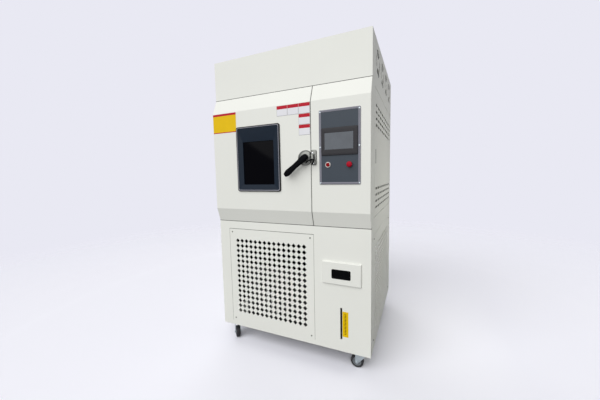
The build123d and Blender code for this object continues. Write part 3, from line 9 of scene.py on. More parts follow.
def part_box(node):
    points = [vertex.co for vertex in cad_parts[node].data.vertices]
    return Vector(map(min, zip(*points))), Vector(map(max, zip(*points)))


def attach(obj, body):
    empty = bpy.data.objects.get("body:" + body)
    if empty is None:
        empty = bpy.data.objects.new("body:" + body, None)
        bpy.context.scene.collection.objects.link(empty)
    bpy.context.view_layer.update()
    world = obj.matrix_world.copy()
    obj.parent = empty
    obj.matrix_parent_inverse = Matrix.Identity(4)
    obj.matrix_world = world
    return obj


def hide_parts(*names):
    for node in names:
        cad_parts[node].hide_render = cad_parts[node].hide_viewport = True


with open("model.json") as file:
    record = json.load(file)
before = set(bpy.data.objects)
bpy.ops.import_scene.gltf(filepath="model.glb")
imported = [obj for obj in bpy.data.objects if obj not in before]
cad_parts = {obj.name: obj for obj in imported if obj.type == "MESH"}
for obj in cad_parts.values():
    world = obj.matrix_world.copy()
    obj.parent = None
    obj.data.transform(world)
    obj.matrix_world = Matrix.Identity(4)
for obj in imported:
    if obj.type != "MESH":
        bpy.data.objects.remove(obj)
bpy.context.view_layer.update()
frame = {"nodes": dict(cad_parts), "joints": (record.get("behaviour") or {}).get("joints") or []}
nodes = frame["nodes"]
joints = {joint["name"]: joint for joint in frame["joints"]}
MM = 0.001

# The studio: a wide lens at chest height, to the right of the chamber and turned back to it.
# The pale floor fades into a pale backdrop. A broad soft light comes from the front and above
# and one from behind, each given as its share on three axes. A lamp stands near the right side.
PICTURE_W = 600
FOCAL_PIXELS = 264.5
SENSOR = 36.0
CAMERA_PLACE = (0.723, -1.8686, 1.1187)
CAMERA_TURN = (84.76, 1.13, 23.84)
BACKDROP = "E9E9F3"
AMBIENT = 0.26
FLOOR_R = 5.0
LAMPS = {
    "key_lamp": ((-0.10, -0.80, 0.56), 75.0),
    "rear_lamp": ((-0.25, 0.45, 0.14), 60.0),
}
SIDE_LAMP_COLOR = (1.0, 1.0, 0.8)
SIDE_LAMP_PLACE = (1.3, 0.15, 0.95)
SIDE_LAMP_SIZE = (1.0, 0.7)
SIDE_LAMP_POWER = 2.2


def linear(code):
    """A screen colour such as E9E9F3 as the linear values that a shader takes."""
    parts = [int(code[start:start + 2], 16) / 255 for start in (0, 2, 4)]
    return tuple(p / 12.92 if p < 0.04045 else ((p + 0.055) / 1.055) ** 2.4 for p in parts) + (1.0,)


def seen_directly(tree):
    """1 for what the lens, a reflection or a pane of glass shows, and 0 for the light on things."""
    rays = tree.nodes.new("ShaderNodeLightPath")
    first = tree.nodes.new("ShaderNodeMath")
    first.operation = "MAXIMUM"
    second = tree.nodes.new("ShaderNodeMath")
    second.operation = "MAXIMUM"
    tree.links.new(rays.outputs["Is Camera Ray"], first.inputs[0])
    tree.links.new(rays.outputs["Is Glossy Ray"], first.inputs[1])
    tree.links.new(first.outputs[0], second.inputs[0])
    tree.links.new(rays.outputs["Is Transmission Ray"], second.inputs[1])
    return second.outputs[0]


scene = bpy.context.scene
scene.view_settings.view_transform = "Standard"
lens = bpy.data.cameras.new("camera")
lens.sensor_fit = "HORIZONTAL"
lens.sensor_width = SENSOR
lens.lens = FOCAL_PIXELS / PICTURE_W * SENSOR
camera = bpy.data.objects.new("camera", lens)
camera.location = CAMERA_PLACE
camera.rotation_euler = [math.radians(angle) for angle in CAMERA_TURN]
scene.collection.objects.link(camera)
scene.camera = camera

world = bpy.data.worlds.new("backdrop")
world.use_nodes = True
scene.world = world
world_tree = world.node_tree
room_light = world_tree.nodes["Background"]
room_light.inputs["Color"].default_value = (1.0, 1.0, 1.0, 1.0)
room_light.inputs["Strength"].default_value = AMBIENT
paper = world_tree.nodes.new("ShaderNodeBackground")
paper.inputs["Color"].default_value = linear(BACKDROP)
choice = world_tree.nodes.new("ShaderNodeMixShader")
world_tree.links.new(seen_directly(world_tree), choice.inputs[0])
world_tree.links.new(room_light.outputs[0], choice.inputs[1])
world_tree.links.new(paper.outputs[0], choice.inputs[2])
world_tree.links.new(choice.outputs[0], world_tree.nodes["World Output"].inputs["Surface"])

for lamp_name, (towards, softness) in LAMPS.items():
    lamp = bpy.data.lights.new(lamp_name, "SUN")
    lamp.angle = math.radians(softness)
    lamp.energy = math.pi * Vector(towards).length
    stand = bpy.data.objects.new(lamp_name, lamp)
    stand.location = Vector(towards).normalized() * FLOOR_R
    stand.rotation_euler = Vector(towards).to_track_quat("Z", "Y").to_euler()
    scene.collection.objects.link(stand)

side_lamp = bpy.data.lights.new("side_lamp", "AREA")
side_lamp.shape = "RECTANGLE"
side_lamp.size, side_lamp.size_y = SIDE_LAMP_SIZE
side_lamp.color = SIDE_LAMP_COLOR
side_lamp.energy = SIDE_LAMP_POWER
side_stand = bpy.data.objects.new("side_lamp", side_lamp)
side_stand.location = SIDE_LAMP_PLACE
side_stand.rotation_euler = Vector((1, 0, 0)).to_track_quat("Z", "Y").to_euler()
side_stand.visible_camera = False
scene.collection.objects.link(side_stand)

floor_mesh = bmesh.new()
bmesh.ops.create_circle(floor_mesh, cap_ends=True, segments=96, radius=FLOOR_R)
floor_data = bpy.data.meshes.new("floor")
floor_mesh.to_mesh(floor_data)
floor = bpy.data.objects.new("floor", floor_data)
scene.collection.objects.link(floor)
floor_paint = bpy.data.materials.new("floor_paint")
floor_paint.use_nodes = True
floor_tree = floor_paint.node_tree
floor_tree.nodes.remove(floor_tree.nodes["Principled BSDF"])
floor_coords = floor_tree.nodes.new("ShaderNodeTexCoord")
floor_scale = floor_tree.nodes.new("ShaderNodeMapping")
floor_scale.inputs["Scale"].default_value = (1 / FLOOR_R, 1 / FLOOR_R, 1.0)
floor_fade = floor_tree.nodes.new("ShaderNodeTexGradient")
floor_fade.gradient_type = "SPHERICAL"
floor_ramp = floor_tree.nodes.new("ShaderNodeValToRGB")
floor_ramp.color_ramp.elements[1].position = 0.55
pale_floor = floor_tree.nodes.new("ShaderNodeBsdfDiffuse")
pale_floor.inputs["Color"].default_value = linear("F2F2FA")
dim_floor = floor_tree.nodes.new("ShaderNodeBsdfDiffuse")
dim_floor.inputs["Color"].default_value = linear("404042")
floor_tone = floor_tree.nodes.new("ShaderNodeMixShader")
open_air = floor_tree.nodes.new("ShaderNodeBsdfTransparent")
floor_mix = floor_tree.nodes.new("ShaderNodeMixShader")
floor_tree.links.new(floor_coords.outputs["Object"], floor_scale.inputs["Vector"])
floor_tree.links.new(floor_scale.outputs[0], floor_fade.inputs[0])
floor_tree.links.new(floor_fade.outputs["Fac"], floor_ramp.inputs["Fac"])
floor_tree.links.new(seen_directly(floor_tree), floor_tone.inputs[0])
floor_tree.links.new(dim_floor.outputs[0], floor_tone.inputs[1])
floor_tree.links.new(pale_floor.outputs[0], floor_tone.inputs[2])
floor_tree.links.new(floor_ramp.outputs["Color"], floor_mix.inputs[0])
floor_tree.links.new(open_air.outputs[0], floor_mix.inputs[1])
floor_tree.links.new(floor_tone.outputs[0], floor_mix.inputs[2])
floor_tree.links.new(floor_mix.outputs[0], floor_tree.nodes["Material Output"].inputs["Surface"])
floor_data.materials.append(floor_paint)

# The cabinet's sheets: folded mild steel in a warm white powder coat, with the faint orange
# peel that the coat always has. They hang on the skirt frame, which is folded from channel.
def finish(name, code, rough, grain=700.0, relief=0.0, mottle=0.03, spread=5.0, stretch=(1, 1, 1), **fixed):
    """A surface whose colour and gloss wander a little, with a fine relief in metres."""
    material = bpy.data.materials.new(name)
    material.use_nodes = True
    tree = material.node_tree
    shader = tree.nodes["Principled BSDF"]
    coords = tree.nodes.new("ShaderNodeTexCoord")
    mapping = tree.nodes.new("ShaderNodeMapping")
    mapping.inputs["Scale"].default_value = stretch
    tree.links.new(coords.outputs["Object"], mapping.inputs["Vector"])
    clouds = tree.nodes.new("ShaderNodeTexNoise")
    clouds.inputs["Scale"].default_value = spread
    clouds.inputs["Detail"].default_value = 4.0
    tree.links.new(mapping.outputs[0], clouds.inputs["Vector"])
    tones = tree.nodes.new("ShaderNodeValToRGB")
    base = linear(code)
    tones.color_ramp.elements[0].position = 0.3
    tones.color_ramp.elements[1].position = 0.7
    tones.color_ramp.elements[0].color = tuple(c * (1 - mottle) for c in base[:3]) + (1.0,)
    tones.color_ramp.elements[1].color = tuple(min(1.0, c * (1 + mottle)) for c in base[:3]) + (1.0,)
    tree.links.new(clouds.outputs["Fac"], tones.inputs["Fac"])
    tree.links.new(tones.outputs["Color"], shader.inputs["Base Color"])
    specks = tree.nodes.new("ShaderNodeTexNoise")
    specks.inputs["Scale"].default_value = grain
    specks.inputs["Detail"].default_value = 3.0
    tree.links.new(mapping.outputs[0], specks.inputs["Vector"])
    gloss = tree.nodes.new("ShaderNodeMapRange")
    gloss.inputs["To Min"].default_value = rough * 0.85
    gloss.inputs["To Max"].default_value = min(1.0, rough * 1.15)
    tree.links.new(specks.outputs["Fac"], gloss.inputs["Value"])
    tree.links.new(gloss.outputs[0], shader.inputs["Roughness"])
    if relief:
        bump = tree.nodes.new("ShaderNodeBump")
        bump.inputs["Distance"].default_value = relief
        tree.links.new(specks.outputs["Fac"], bump.inputs["Height"])
        tree.links.new(bump.outputs[0], shader.inputs["Normal"])
    for socket, value in fixed.items():
        shader.inputs[socket.replace("_", " ")].default_value = value
    return material


def dress(material, *names):
    """Gives construction pieces their finish."""
    for name in names:
        nodes[name].data.materials.clear()
        nodes[name].data.materials.append(material)


def powder_coat():
    """Warm white powder coat, satin."""
    return finish("white_paint", "DEDFD9", 0.5, 650.0, 0.00003, 0.012, 2.5, Specular_IOR_Level=0.25)


def zinc_plate():
    """Bright zinc plate, slightly blue."""
    return finish("zinc_plate", "A7AFB2", 0.34, 500.0, 0.00002, 0.1, 60.0, Metallic=1.0)


white = powder_coat()
zinc = zinc_plate()
dress(
    white,
    "base_frame",
    "lower_front_panel",
    "left_side_panel",
    "right_lower_panel",
    "right_upper_panel",
    "rear_panel",
    "control_fascia",
    "door_shell",
)

# The screws of the two grilles: zinc-plated pan heads gone dull, one near each corner of the
# front grille and of the side grille.
SCREW_PROFILE = ((4.5, 0.0), (4.5, 1.0), (3.6, 2.1), (2.0, 2.5), (1.3, 2.4), (1.0, 1.2), (0.2, 1.2))


def front_place(y):
    """Stands a flat drawing up so that it faces the front at depth y."""
    return Matrix(((1, 0, 0, 0), (0, 0, -1, y), (0, 1, 0, 0), (0, 0, 0, 1)))


def side_place(x):
    """Stands a flat drawing up so that it faces the right at x."""
    return Matrix(((0, 0, 1, x), (1, 0, 0, 0), (0, 1, 0, 0), (0, 0, 0, 1)))


def skin(rings, wrap=False, capped=True):
    """A closed skin over rings of as many points each."""
    count = len(rings[0])
    faces = []
    last = len(rings) if wrap else len(rings) - 1
    for ring in range(last):
        low, high = ring * count, (ring + 1) % len(rings) * count
        for step in range(count):
            beside = (step + 1) % count
            faces.append((low + step, low + beside, high + beside, high + step))
    if capped and not wrap:
        faces.append(tuple(range(count))[::-1])
        faces.append(tuple(range((len(rings) - 1) * count, len(rings) * count)))
    mesh = bpy.data.meshes.new("skin")
    mesh.from_pydata([point for ring in rings for point in ring], [], faces)
    return mesh


def turned(profile, middle=(0.0, 0.0), steps=32):
    """Rings of a turned piece from (radius, height) in millimetres, round the axis that points out."""
    rings = []
    for radius, height in profile:
        angles = [2 * math.pi * step / steps for step in range(steps)]
        rings.append(
            [
                (middle[0] + radius * MM * math.cos(a), middle[1] + radius * MM * math.sin(a), height * MM)
                for a in angles
            ]
        )
    return rings


def joined(name, meshes):
    """Several meshes as one, with every face turned outwards."""
    whole = bmesh.new()
    for mesh in meshes:
        whole.from_mesh(mesh)
        bpy.data.meshes.remove(mesh)
    bmesh.ops.recalc_face_normals(whole, faces=whole.faces)
    result = bpy.data.meshes.new(name)
    whole.to_mesh(result)
    whole.free()
    return result


def put(name, meshes, place, body, material, replaced=(), sharp=32.0, bevel=0.0):
    """Places a new piece, gives it its finish and fixes it to its body."""
    mesh = joined(name, meshes)
    mesh.transform(place)
    mesh.materials.append(material)
    mesh.shade_smooth()
    mesh.set_sharp_from_angle(angle=math.radians(sharp))
    obj = bpy.data.objects.new(name, mesh)
    scene.collection.objects.link(obj)
    if bevel:
        rounding = obj.modifiers.new("rounding", "BEVEL")
        rounding.width = bevel * MM
        rounding.segments = 2
        rounding.limit_method = "ANGLE"
        rounding.angle_limit = math.radians(40)
        rounding.harden_normals = True
    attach(obj, body)
    if replaced:
        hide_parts(*replaced)
    return obj


def corner_points(low, high, across, inset):
    """The four corners of a panel's box, set in, as (across, up)."""
    return [
        (u, v)
        for u in (low[across] + inset, high[across] - inset)
        for v in (low.z + inset, high.z - inset)
    ]


front_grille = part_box("grille_panel")
side_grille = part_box("right_grille_panel")
SCREW_INSET = 21 * MM
SCREW_STEPS = 16
dull_zinc = finish("dull_zinc", "55564F", 0.5, 500.0, 0.00002, 0.1, 60.0, Metallic=0.6)
grille_screws = (
    ("front_grille_screws", front_grille, 0, front_place(front_grille[0].y), ()),
    ("side_grille_screws", side_grille, 1, side_place(side_grille[1].x), ("panel_screws",)),
)
for screws_name, panel, across, place, replaced in grille_screws:
    spots = corner_points(*panel, across, SCREW_INSET)
    screws = [skin(turned(SCREW_PROFILE, spot, SCREW_STEPS)) for spot in spots]
    put(screws_name, screws, place, "cabinet", dull_zinc, replaced)

# The two punched sheets: 2 mm painted steel with rows of square holes that stand on their corners,
# 15 by 15 in the front and 20 by 15 in the machine room's right side. Each lifts off after four
# screws.
HOLE_HALF = 14.5 * MM
FRONT_COLUMNS = 15
FRONT_PITCH = (33.9 * MM, 34.3 * MM)
FRONT_FIRST_HOLE = (62.0 * MM, 81.0 * MM)
SIDE_COLUMNS = 20
HOLE_ROWS = 15
SIDE_PITCH = 34.0 * MM
SIDE_FIRST_HOLE = (70 * MM, 81 * MM)
SHEET = 2 * MM


def punched(outline, holes, thickness):
    """A flat sheet with holes: its face at height 0, its back below."""
    flat = bmesh.new()
    edges = []
    loops = [outline] + holes
    for loop in loops:
        corners = [flat.verts.new((u, v, 0.0)) for u, v in loop]
        edges += [flat.edges.new(pair) for pair in zip(corners, corners[1:] + corners[:1])]
    flat.verts.index_update()
    bmesh.ops.triangle_fill(flat, use_beauty=True, use_dissolve=False, edges=edges, normal=(0, 0, 1))
    points = [tuple(vert.co) for vert in flat.verts]
    triangles = [tuple(vert.index for vert in face.verts) for face in flat.faces]
    flat.free()
    count = len(points)
    faces = triangles + [tuple(count + corner for corner in face[::-1]) for face in triangles]
    start = 0
    for loop in loops:
        for step in range(len(loop)):
            near, far = start + step, start + (step + 1) % len(loop)
            faces.append((near, far, count + far, count + near))
        start += len(loop)
    mesh = bpy.data.meshes.new("punched")
    mesh.from_pydata(points + [(u, v, -thickness) for u, v, _ in points], [], faces)
    return mesh


def box_outline(u0, u1, v0, v1):
    """The corners of an upright rectangle."""
    return [(u0, v0), (u1, v0), (u1, v1), (u0, v1)]


def diamond(u, v):
    """A square hole that stands on its corner."""
    return [(u + HOLE_HALF, v), (u, v + HOLE_HALF), (u - HOLE_HALF, v), (u, v - HOLE_HALF)]


grille_low, grille_high = front_grille
front_holes = [
    diamond(
        grille_low.x + FRONT_FIRST_HOLE[0] + column * FRONT_PITCH[0],
        grille_low.z + FRONT_FIRST_HOLE[1] + row * FRONT_PITCH[1],
    )
    for row in range(HOLE_ROWS)
    for column in range(FRONT_COLUMNS)
]
side_low, side_high = side_grille
side_holes = [
    diamond(
        side_low.y + SIDE_FIRST_HOLE[0] + column * SIDE_PITCH,
        side_low.z + SIDE_FIRST_HOLE[1] + row * SIDE_PITCH,
    )
    for row in range(HOLE_ROWS)
    for column in range(SIDE_COLUMNS)
]
front_edge = box_outline(grille_low.x, grille_high.x, grille_low.z, grille_high.z)
side_edge = box_outline(side_low.y, side_high.y, side_low.z, side_high.z)
punched_sheets = (
    ("front_grille", front_edge, front_holes, front_place(grille_low.y), "grille_panel"),
    ("side_grille", side_edge, side_holes, side_place(side_high.x), "right_grille_panel"),
)
for grille_name, grille_edge, holes, place, replaced in punched_sheets:
    sheet = punched(grille_edge, holes, SHEET)
    put(grille_name, [sheet], place, "cabinet", white, (replaced,))

# The seams: dark strips set into the 2 mm gaps that part the hood, the door, the control cover and
# the lower front, and into the one over the front grille, with grey ones at the grille's sides.
# Their dark and grey are painted shade, standing for the shadow in the gaps. All are fixed to the cabinet.
SHADE_STRIP_PROUD = 0.3 * MM
SHADE_STRIP_DEPTH = 9 * MM
SHADE_STRIP_LAP = 1.2 * MM
HOOD_GAP = 1.6 * MM
WAIST_GAP = 1.7 * MM
DOOR_GAP = 1.4 * MM
UPPER_BEVEL = 92 * MM
LOWER_BEVEL = 83 * MM
GRILLE_GAP = 2 * MM
GRILLE_SHADE_LAP = 0.5 * MM
GRILLE_SHADE_PROUD = 0.1 * MM
GRILLE_SHADE_T = 1.5 * MM
# Painted shade: the dark strips in the seams and the grey ones at the grille's sides take the colour of the
# shadow in the gaps.
seam_painted_shade = finish("seam_painted_shade", "2E2E2A", 0.7, 900.0, 0.00003, 0.1, 40.0, Specular_IOR_Level=0.2)
gap_painted_shade = finish("gap_painted_shade", "8E8F88", 0.7, 900.0, 0.00003, 0.1, 40.0, Specular_IOR_Level=0.2)
hood_low, hood_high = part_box("hood")
cover_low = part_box("control_fascia")[0]
waist_low, waist_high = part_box("lower_front_panel")
seams = {
    "hood_seam_shade": (hood_low, hood_low.z - HOOD_GAP, hood_low.z + SHADE_STRIP_LAP),
    "waist_seam_shade": (waist_low, waist_high.z - SHADE_STRIP_LAP, waist_high.z + WAIST_GAP),
}
for seam_name, (corner, foot, top) in seams.items():
    strip = punched(box_outline(hood_low.x, hood_high.x, foot, top), [], SHADE_STRIP_DEPTH)
    put(seam_name, [strip], front_place(corner.y - SHADE_STRIP_PROUD), "cabinet", seam_painted_shade)
folds = (
    (waist_low.y, waist_high.z),
    (cover_low.y, waist_high.z + LOWER_BEVEL),
    (cover_low.y, hood_low.z - UPPER_BEVEL),
    (hood_low.y, hood_low.z),
)
door_side = [(y - SHADE_STRIP_PROUD, z) for y, z in folds] + [(y + SHADE_STRIP_DEPTH, z) for y, z in reversed(folds)]
upright = punched(door_side, [], DOOR_GAP + SHADE_STRIP_LAP)
put("door_side_seam_shade", [upright], side_place(cover_low.x + SHADE_STRIP_LAP), "cabinet", seam_painted_shade)
gap_left = grille_low.x - GRILLE_GAP
gap_right = grille_high.x
top_edge = box_outline(
    gap_left,
    gap_right + GRILLE_GAP,
    grille_high.z - GRILLE_SHADE_LAP,
    grille_high.z + GRILLE_GAP,
)
top_shade_strip = punched(top_edge, [], GRILLE_SHADE_T)
grille_place = front_place(grille_low.y - GRILLE_SHADE_PROUD)
put("grille_top_seam_shade", [top_shade_strip], grille_place, "cabinet", seam_painted_shade)
side_shade_strips = [
    punched(box_outline(x, x + GRILLE_GAP, grille_low.z, grille_high.z), [], GRILLE_SHADE_T)
    for x in (gap_left, gap_right)
]
put("grille_side_seam_shades", side_shade_strips, grille_place, "cabinet", gap_painted_shade)

# The castors: zinc-plated pressed forks on ball races under bolted plates, with black rubber
# tyres on grey hubs. Each fork swivels freely and trails its own way.
CORNERS = ("front_left", "front_right", "rear_left", "rear_right")
WHEEL_R = 37.5
TYRE_INNER_R = 25.0
WHEEL_W = 27.0
FORK_GAP = 15.0
CHEEK_T = 2.8
AXLE_HEX_R = 8.0
RACE_R = 23.0
CROWN_BACK = 20 * MM
CROWN_FRONT = 8 * MM
CROWN_T = 3 * MM
CROWN_DROP = 12 * MM
NECK_BACK = 22 * MM
NECK_DROP = 12 * MM
AXLE_END_R = 10 * MM
half_w = WHEEL_W / 2
cheek_face = (FORK_GAP + CHEEK_T) * MM
TYRE_PROFILE = (
    (TYRE_INNER_R, -half_w + 2),
    (WHEEL_R - 5, -half_w),
    (WHEEL_R - 2, -half_w + 1.5),
    (WHEEL_R - 0.4, -half_w + 4.5),
    (WHEEL_R, -half_w + 9),
    (WHEEL_R, half_w - 9),
    (WHEEL_R - 0.4, half_w - 4.5),
    (WHEEL_R - 2, half_w - 1.5),
    (WHEEL_R - 5, half_w),
    (TYRE_INNER_R, half_w - 2),
)
HUB_PROFILE = (
    (6.0, -half_w + 1),
    (10.0, -half_w + 1),
    (11.0, -half_w + 5),
    (19.0, -half_w + 7),
    (22.0, -half_w + 2.5),
    (TYRE_INNER_R, -half_w + 2),
    (TYRE_INNER_R, half_w - 2),
    (22.0, half_w - 2.5),
    (19.0, half_w - 7),
    (11.0, half_w - 5),
    (10.0, half_w - 1),
    (6.0, half_w - 1),
)
RACE_PROFILE = (
    (RACE_R - 6, 1),
    (RACE_R, 2),
    (RACE_R + 1, 5),
    (RACE_R - 1, 8),
    (RACE_R - 1, 11.5),
    (RACE_R - 7, 11.8),
)


def round_end(middle, radius, start, end, steps=10):
    """Points along an arc, in degrees."""
    return [
        (
            middle[0] + radius * math.cos(math.radians(start + (end - start) * step / steps)),
            middle[1] + radius * math.sin(math.radians(start + (end - start) * step / steps)),
        )
        for step in range(steps + 1)
    ]


def across_axle(mesh, trail, height, out):
    """Lays a turned piece along the axle, which runs sideways through the wheel."""
    mesh.transform(Matrix(((1, 0, 0, trail), (0, 0, -1, out), (0, 1, 0, height), (0, 0, 0, 1))))
    return mesh


rubber = finish("tyre_rubber", "1B1B1D", 0.62, 900.0, 0.00006, 0.15, 40.0, Specular_IOR_Level=0.35)
hub_plastic = finish("hub_plastic", "6C7175", 0.5, 1200.0, 0.00002, 0.08, 40.0)
dress(zinc, "castor_plates")
for corner in CORNERS:
    swivel = Vector(joints["swivel_" + corner]["pos_m"])
    hub = Vector(joints["roll_" + corner]["pos_m"])
    reach = hub.xy - swivel.xy
    heading = Matrix.Rotation(math.atan2(reach.y, reach.x), 4, "Z")
    stand = Matrix.Translation((swivel.x, swivel.y, 0)) @ heading
    trail = reach.length
    crown_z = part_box("castor_fork_" + corner)[1].z - CROWN_DROP
    tyre = across_axle(skin(turned(TYRE_PROFILE, steps=48), wrap=True), trail, hub.z, 0.0)
    wheel = "wheel_" + corner
    put("castor_tyre_" + corner, [tyre], stand, wheel, rubber, ("castor_wheel_" + corner,))
    core = across_axle(skin(turned(HUB_PROFILE), wrap=True), trail, hub.z, 0.0)
    put("castor_hub_" + corner, [core], stand, wheel, hub_plastic)
    cheek = (
        [(-CROWN_BACK, crown_z), (-NECK_BACK, crown_z - NECK_DROP)]
        + round_end((trail, hub.z), AXLE_END_R, 215, 375)
        + [(trail + CROWN_FRONT, crown_z)]
    )
    fork_pieces = []
    for side in (-1, 1):
        plate = punched(cheek, [], CHEEK_T * MM)
        out = side * (FORK_GAP + CHEEK_T if side > 0 else FORK_GAP) * MM
        plate.transform(Matrix(((1, 0, 0, 0), (0, 0, 1, out), (0, 1, 0, 0), (0, 0, 0, 1))))
        fork_pieces.append(plate)
        head = skin(turned([(AXLE_HEX_R, 0), (AXLE_HEX_R, 3.6), (AXLE_HEX_R - 1, 4.4)], steps=6))
        face_out = side * cheek_face
        head.transform(Matrix(((1, 0, 0, trail), (0, 0, side, face_out), (0, 1, 0, hub.z), (0, 0, 0, 1))))
        fork_pieces.append(head)
    axle = skin(turned([(4.9, -FORK_GAP), (4.9, FORK_GAP)], steps=24))
    fork_pieces.append(across_axle(axle, trail, hub.z, 0.0))
    crown = punched(box_outline(-CROWN_BACK, trail + CROWN_FRONT, -cheek_face, cheek_face), [], CROWN_T)
    crown.transform(Matrix.Translation((0, 0, crown_z + CROWN_T / 2)))
    fork_pieces.append(crown)
    race = skin(turned(RACE_PROFILE))
    race.transform(Matrix.Translation((0, 0, crown_z)))
    fork_pieces.append(race)
    put(
        "castor_fork_" + corner + "_pressing",
        fork_pieces,
        stand,
        "fork_" + corner,
        zinc,
        ("castor_fork_" + corner,),
        bevel=0.8,
    )

# The machine room behind the grilles: a black enamelled compressor, a condenser with its fan on a
# bridged plate, and the zinc-plated rails that the water drawer runs on. The fan plate, coil and fan
# are black and near-black as painted shade for the dark inside of the machine room.
enamel = finish("black_paint", "17181A", 0.35, 400.0, 0.00004, 0.1, 12.0, Coat_Weight=0.4)
coil_shade = finish("coil_painted_shade", "242527", 0.5, 300.0, 0.00002, 0.12, 30.0, stretch=(1, 1, 8), Metallic=0.5)
# Painted shade: the condenser's fan plate takes the compressor's black, and the coil and fan a near-black,
# for the machine room's shade.
dress(enamel, "compressor", "condenser_shroud")
dress(coil_shade, "condenser_coil", "cooling_fan")
dress(zinc, "drawer_rails")

# The machine room's dark sheets: near-black sheets set against the inner face of the left side and
# against the rear beside the exhaust slots, as painted shade for the dark inside of the machine room.
LINING_T = 4 * MM
LINING_LOW = 160 * MM
LINING_HIGH = 800 * MM
LINING_W = 330 * MM
LINING_START = 8 * MM
FRONT_FLANGE = 48 * MM
REAR_FLANGE = 12 * MM
LEFT_FACE = 7 * MM
REAR_FACE = 6.5 * MM
# Painted shade: a near-black sheet that darkens the inside of the machine room seen through the grilles.
machine_room_painted_shade = finish("machine_room_painted_shade", "0B0B0C", 0.95, 300.0, 0.0004, 0.1, 30.0, Specular_IOR_Level=0.1)
left_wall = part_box("left_side_panel")[0].x
rear_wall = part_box("rear_panel")[1].y
left_edge = box_outline(grille_low.y + FRONT_FLANGE, rear_wall - REAR_FLANGE, LINING_LOW, LINING_HIGH)
rear_edge = box_outline(left_wall + LINING_START, left_wall + LINING_W, LINING_LOW, LINING_HIGH)
linings = (
    ("left_wall_painted_shade", left_edge, side_place(left_wall + LEFT_FACE)),
    ("rear_wall_painted_shade", rear_edge, front_place(rear_wall - REAR_FACE)),
)
for lining_name, lining_edge, place in linings:
    put(lining_name, [punched(lining_edge, [], LINING_T)], place, "cabinet", machine_room_painted_shade)

# The control compartment behind the service door: a grey mounting plate, screwed in, with rows
# of contactors, a power supply and breakers on it.
grey_plastic = finish("grey_plastic", "8E9296", 0.55, 900.0, 0.00002, 0.05, 30.0)
dress(grey_plastic, "electrical_panel")

# The workroom: a brushed stainless liner in rigid foam, with a polished lamp reflector, three
# quartz lamps and a turntable for the specimens.
steel = finish("stainless", "B8B7B2", 0.3, 260.0, 0.00001, 0.07, 20.0, stretch=(1, 1, 14), Metallic=1.0)
foam = finish("foam", "D9CFA8", 0.95, 300.0, 0.0004, 0.08, 30.0)
mirror_sheet = finish("mirror_sheet", "E0E0DE", 0.1, 200.0, 0.0, 0.03, 10.0, Metallic=1.0)
quartz = finish("quartz", "E8EEF2", 0.06, 200.0, 0.0, 0.01, 10.0, Transmission_Weight=0.9)
dress(steel, "chamber_liner", "door_frame", "turntable", "door_liner")
dress(foam, "insulation_jacket")
dress(mirror_sheet, "lamp_reflector")
dress(quartz, "xenon_lamps")

# The hood: folded sheet, lifted off upwards, with a pressed finger guard in its right side for
# each of the four axial fans. The fans are black moulded frames and rotors, screwed on behind.
GUARD_R = 72 * MM
GUARD_FIRST = 204 * MM
GUARD_PITCH = 205 * MM
GUARD_RISE = 129 * MM
GUARD_COUNT = 4
# Each slot's first and last angle in degrees, and its inner radius in millimetres.
GUARD_SLOTS = ((48, 87, 30), (93, 132, 30), (228, 267, 30), (273, 312, 30), (-30, 30, 50), (150, 210, 50))
guards = []
for index in range(GUARD_COUNT):
    middle = (hood_low.y + GUARD_FIRST + index * GUARD_PITCH, hood_low.z + GUARD_RISE)
    for start, end, inner in GUARD_SLOTS:
        rim = round_end(middle, GUARD_R, start, end, 6)
        guards.append(rim + round_end(middle, inner * MM, end, start, 6))
inside = (hood_low.x + SHEET, hood_high.x - SHEET)
side_outline = box_outline(hood_low.y, hood_high.y, hood_low.z, hood_high.z)
front_outline = box_outline(*inside, hood_low.z, hood_high.z)
roof_outline = box_outline(*inside, hood_low.y + SHEET, hood_high.y - SHEET)
hood_sheets = (
    (side_outline, guards, side_place(hood_high.x)),
    (side_outline, [], side_place(hood_low.x + SHEET)),
    (front_outline, [], front_place(hood_low.y)),
    (front_outline, [], front_place(hood_high.y - SHEET)),
    (roof_outline, [], Matrix.Translation((0, 0, hood_high.z))),
)
hood_pieces = []
for outline, holes, place in hood_sheets:
    sheet = punched(outline, holes, SHEET)
    sheet.transform(place)
    hood_pieces.append(sheet)
put("hood_cover", hood_pieces, Matrix.Identity(4), "cabinet", white, ("hood",))
black_plastic = finish("black_plastic", "15161A", 0.48, 1400.0, 0.00003, 0.12, 60.0)
dress(black_plastic, "fan_frames", "fan_rotor_1", "fan_rotor_2", "fan_rotor_3", "fan_rotor_4")

# The service door: painted sheet with turned-in edges and eight rows of short air slots, four
# near the top and four near the bottom, hung at the back and pulled open by a flush paddle.
SLOT_COUNT = 9
SLOT_W = 62 * MM
SLOT_PITCH_Y = 88 * MM
SLOT_H = 14 * MM
ROW_PITCH = 36 * MM
SLOT_ROWS = 4
TOP_ROW = 86 * MM
BOTTOM_ROW = 49 * MM
FLANGE = 18 * MM
FLANGE_TOP = -1.9
FOLD_R = 0.01
PULL_DEPTH = 15 * MM
PULL_LAP = 2 * MM
PULL_RISE = 0.5 * MM
PADDLE_IN = 2.5 * MM
PADDLE_SECTIONS = ((0, 2, -3), (0, 2, -0.6), (0.6, 2, 0), (3, 3, 0), (5, 3, -0.8))


def slot_outline(u0, u1, v, height):
    """A slot with round ends."""
    r = height / 2
    return round_end((u1 - r, v), r, -90, 90, 6) + round_end((u0 + r, v), r, 90, 270, 6)


def rim_rings(u0, u1, v0, v1, sections, steps=6):
    """Rings of a moulded rim from (inset, corner radius, height) in millimetres."""
    rings = []
    for inset, radius, height in sections:
        a0, a1, b0, b1 = u0 + inset * MM, u1 - inset * MM, v0 + inset * MM, v1 - inset * MM
        r = radius * MM
        ring = []
        corners = ((a1 - r, b1 - r, 0), (a0 + r, b1 - r, 90), (a0 + r, b0 + r, 180), (a1 - r, b0 + r, 270))
        for cu, cv, start in corners:
            ring += [(u, v, height * MM) for u, v in round_end((cu, cv), r, start, start + 90, steps)]
        rings.append(ring)
    return rings


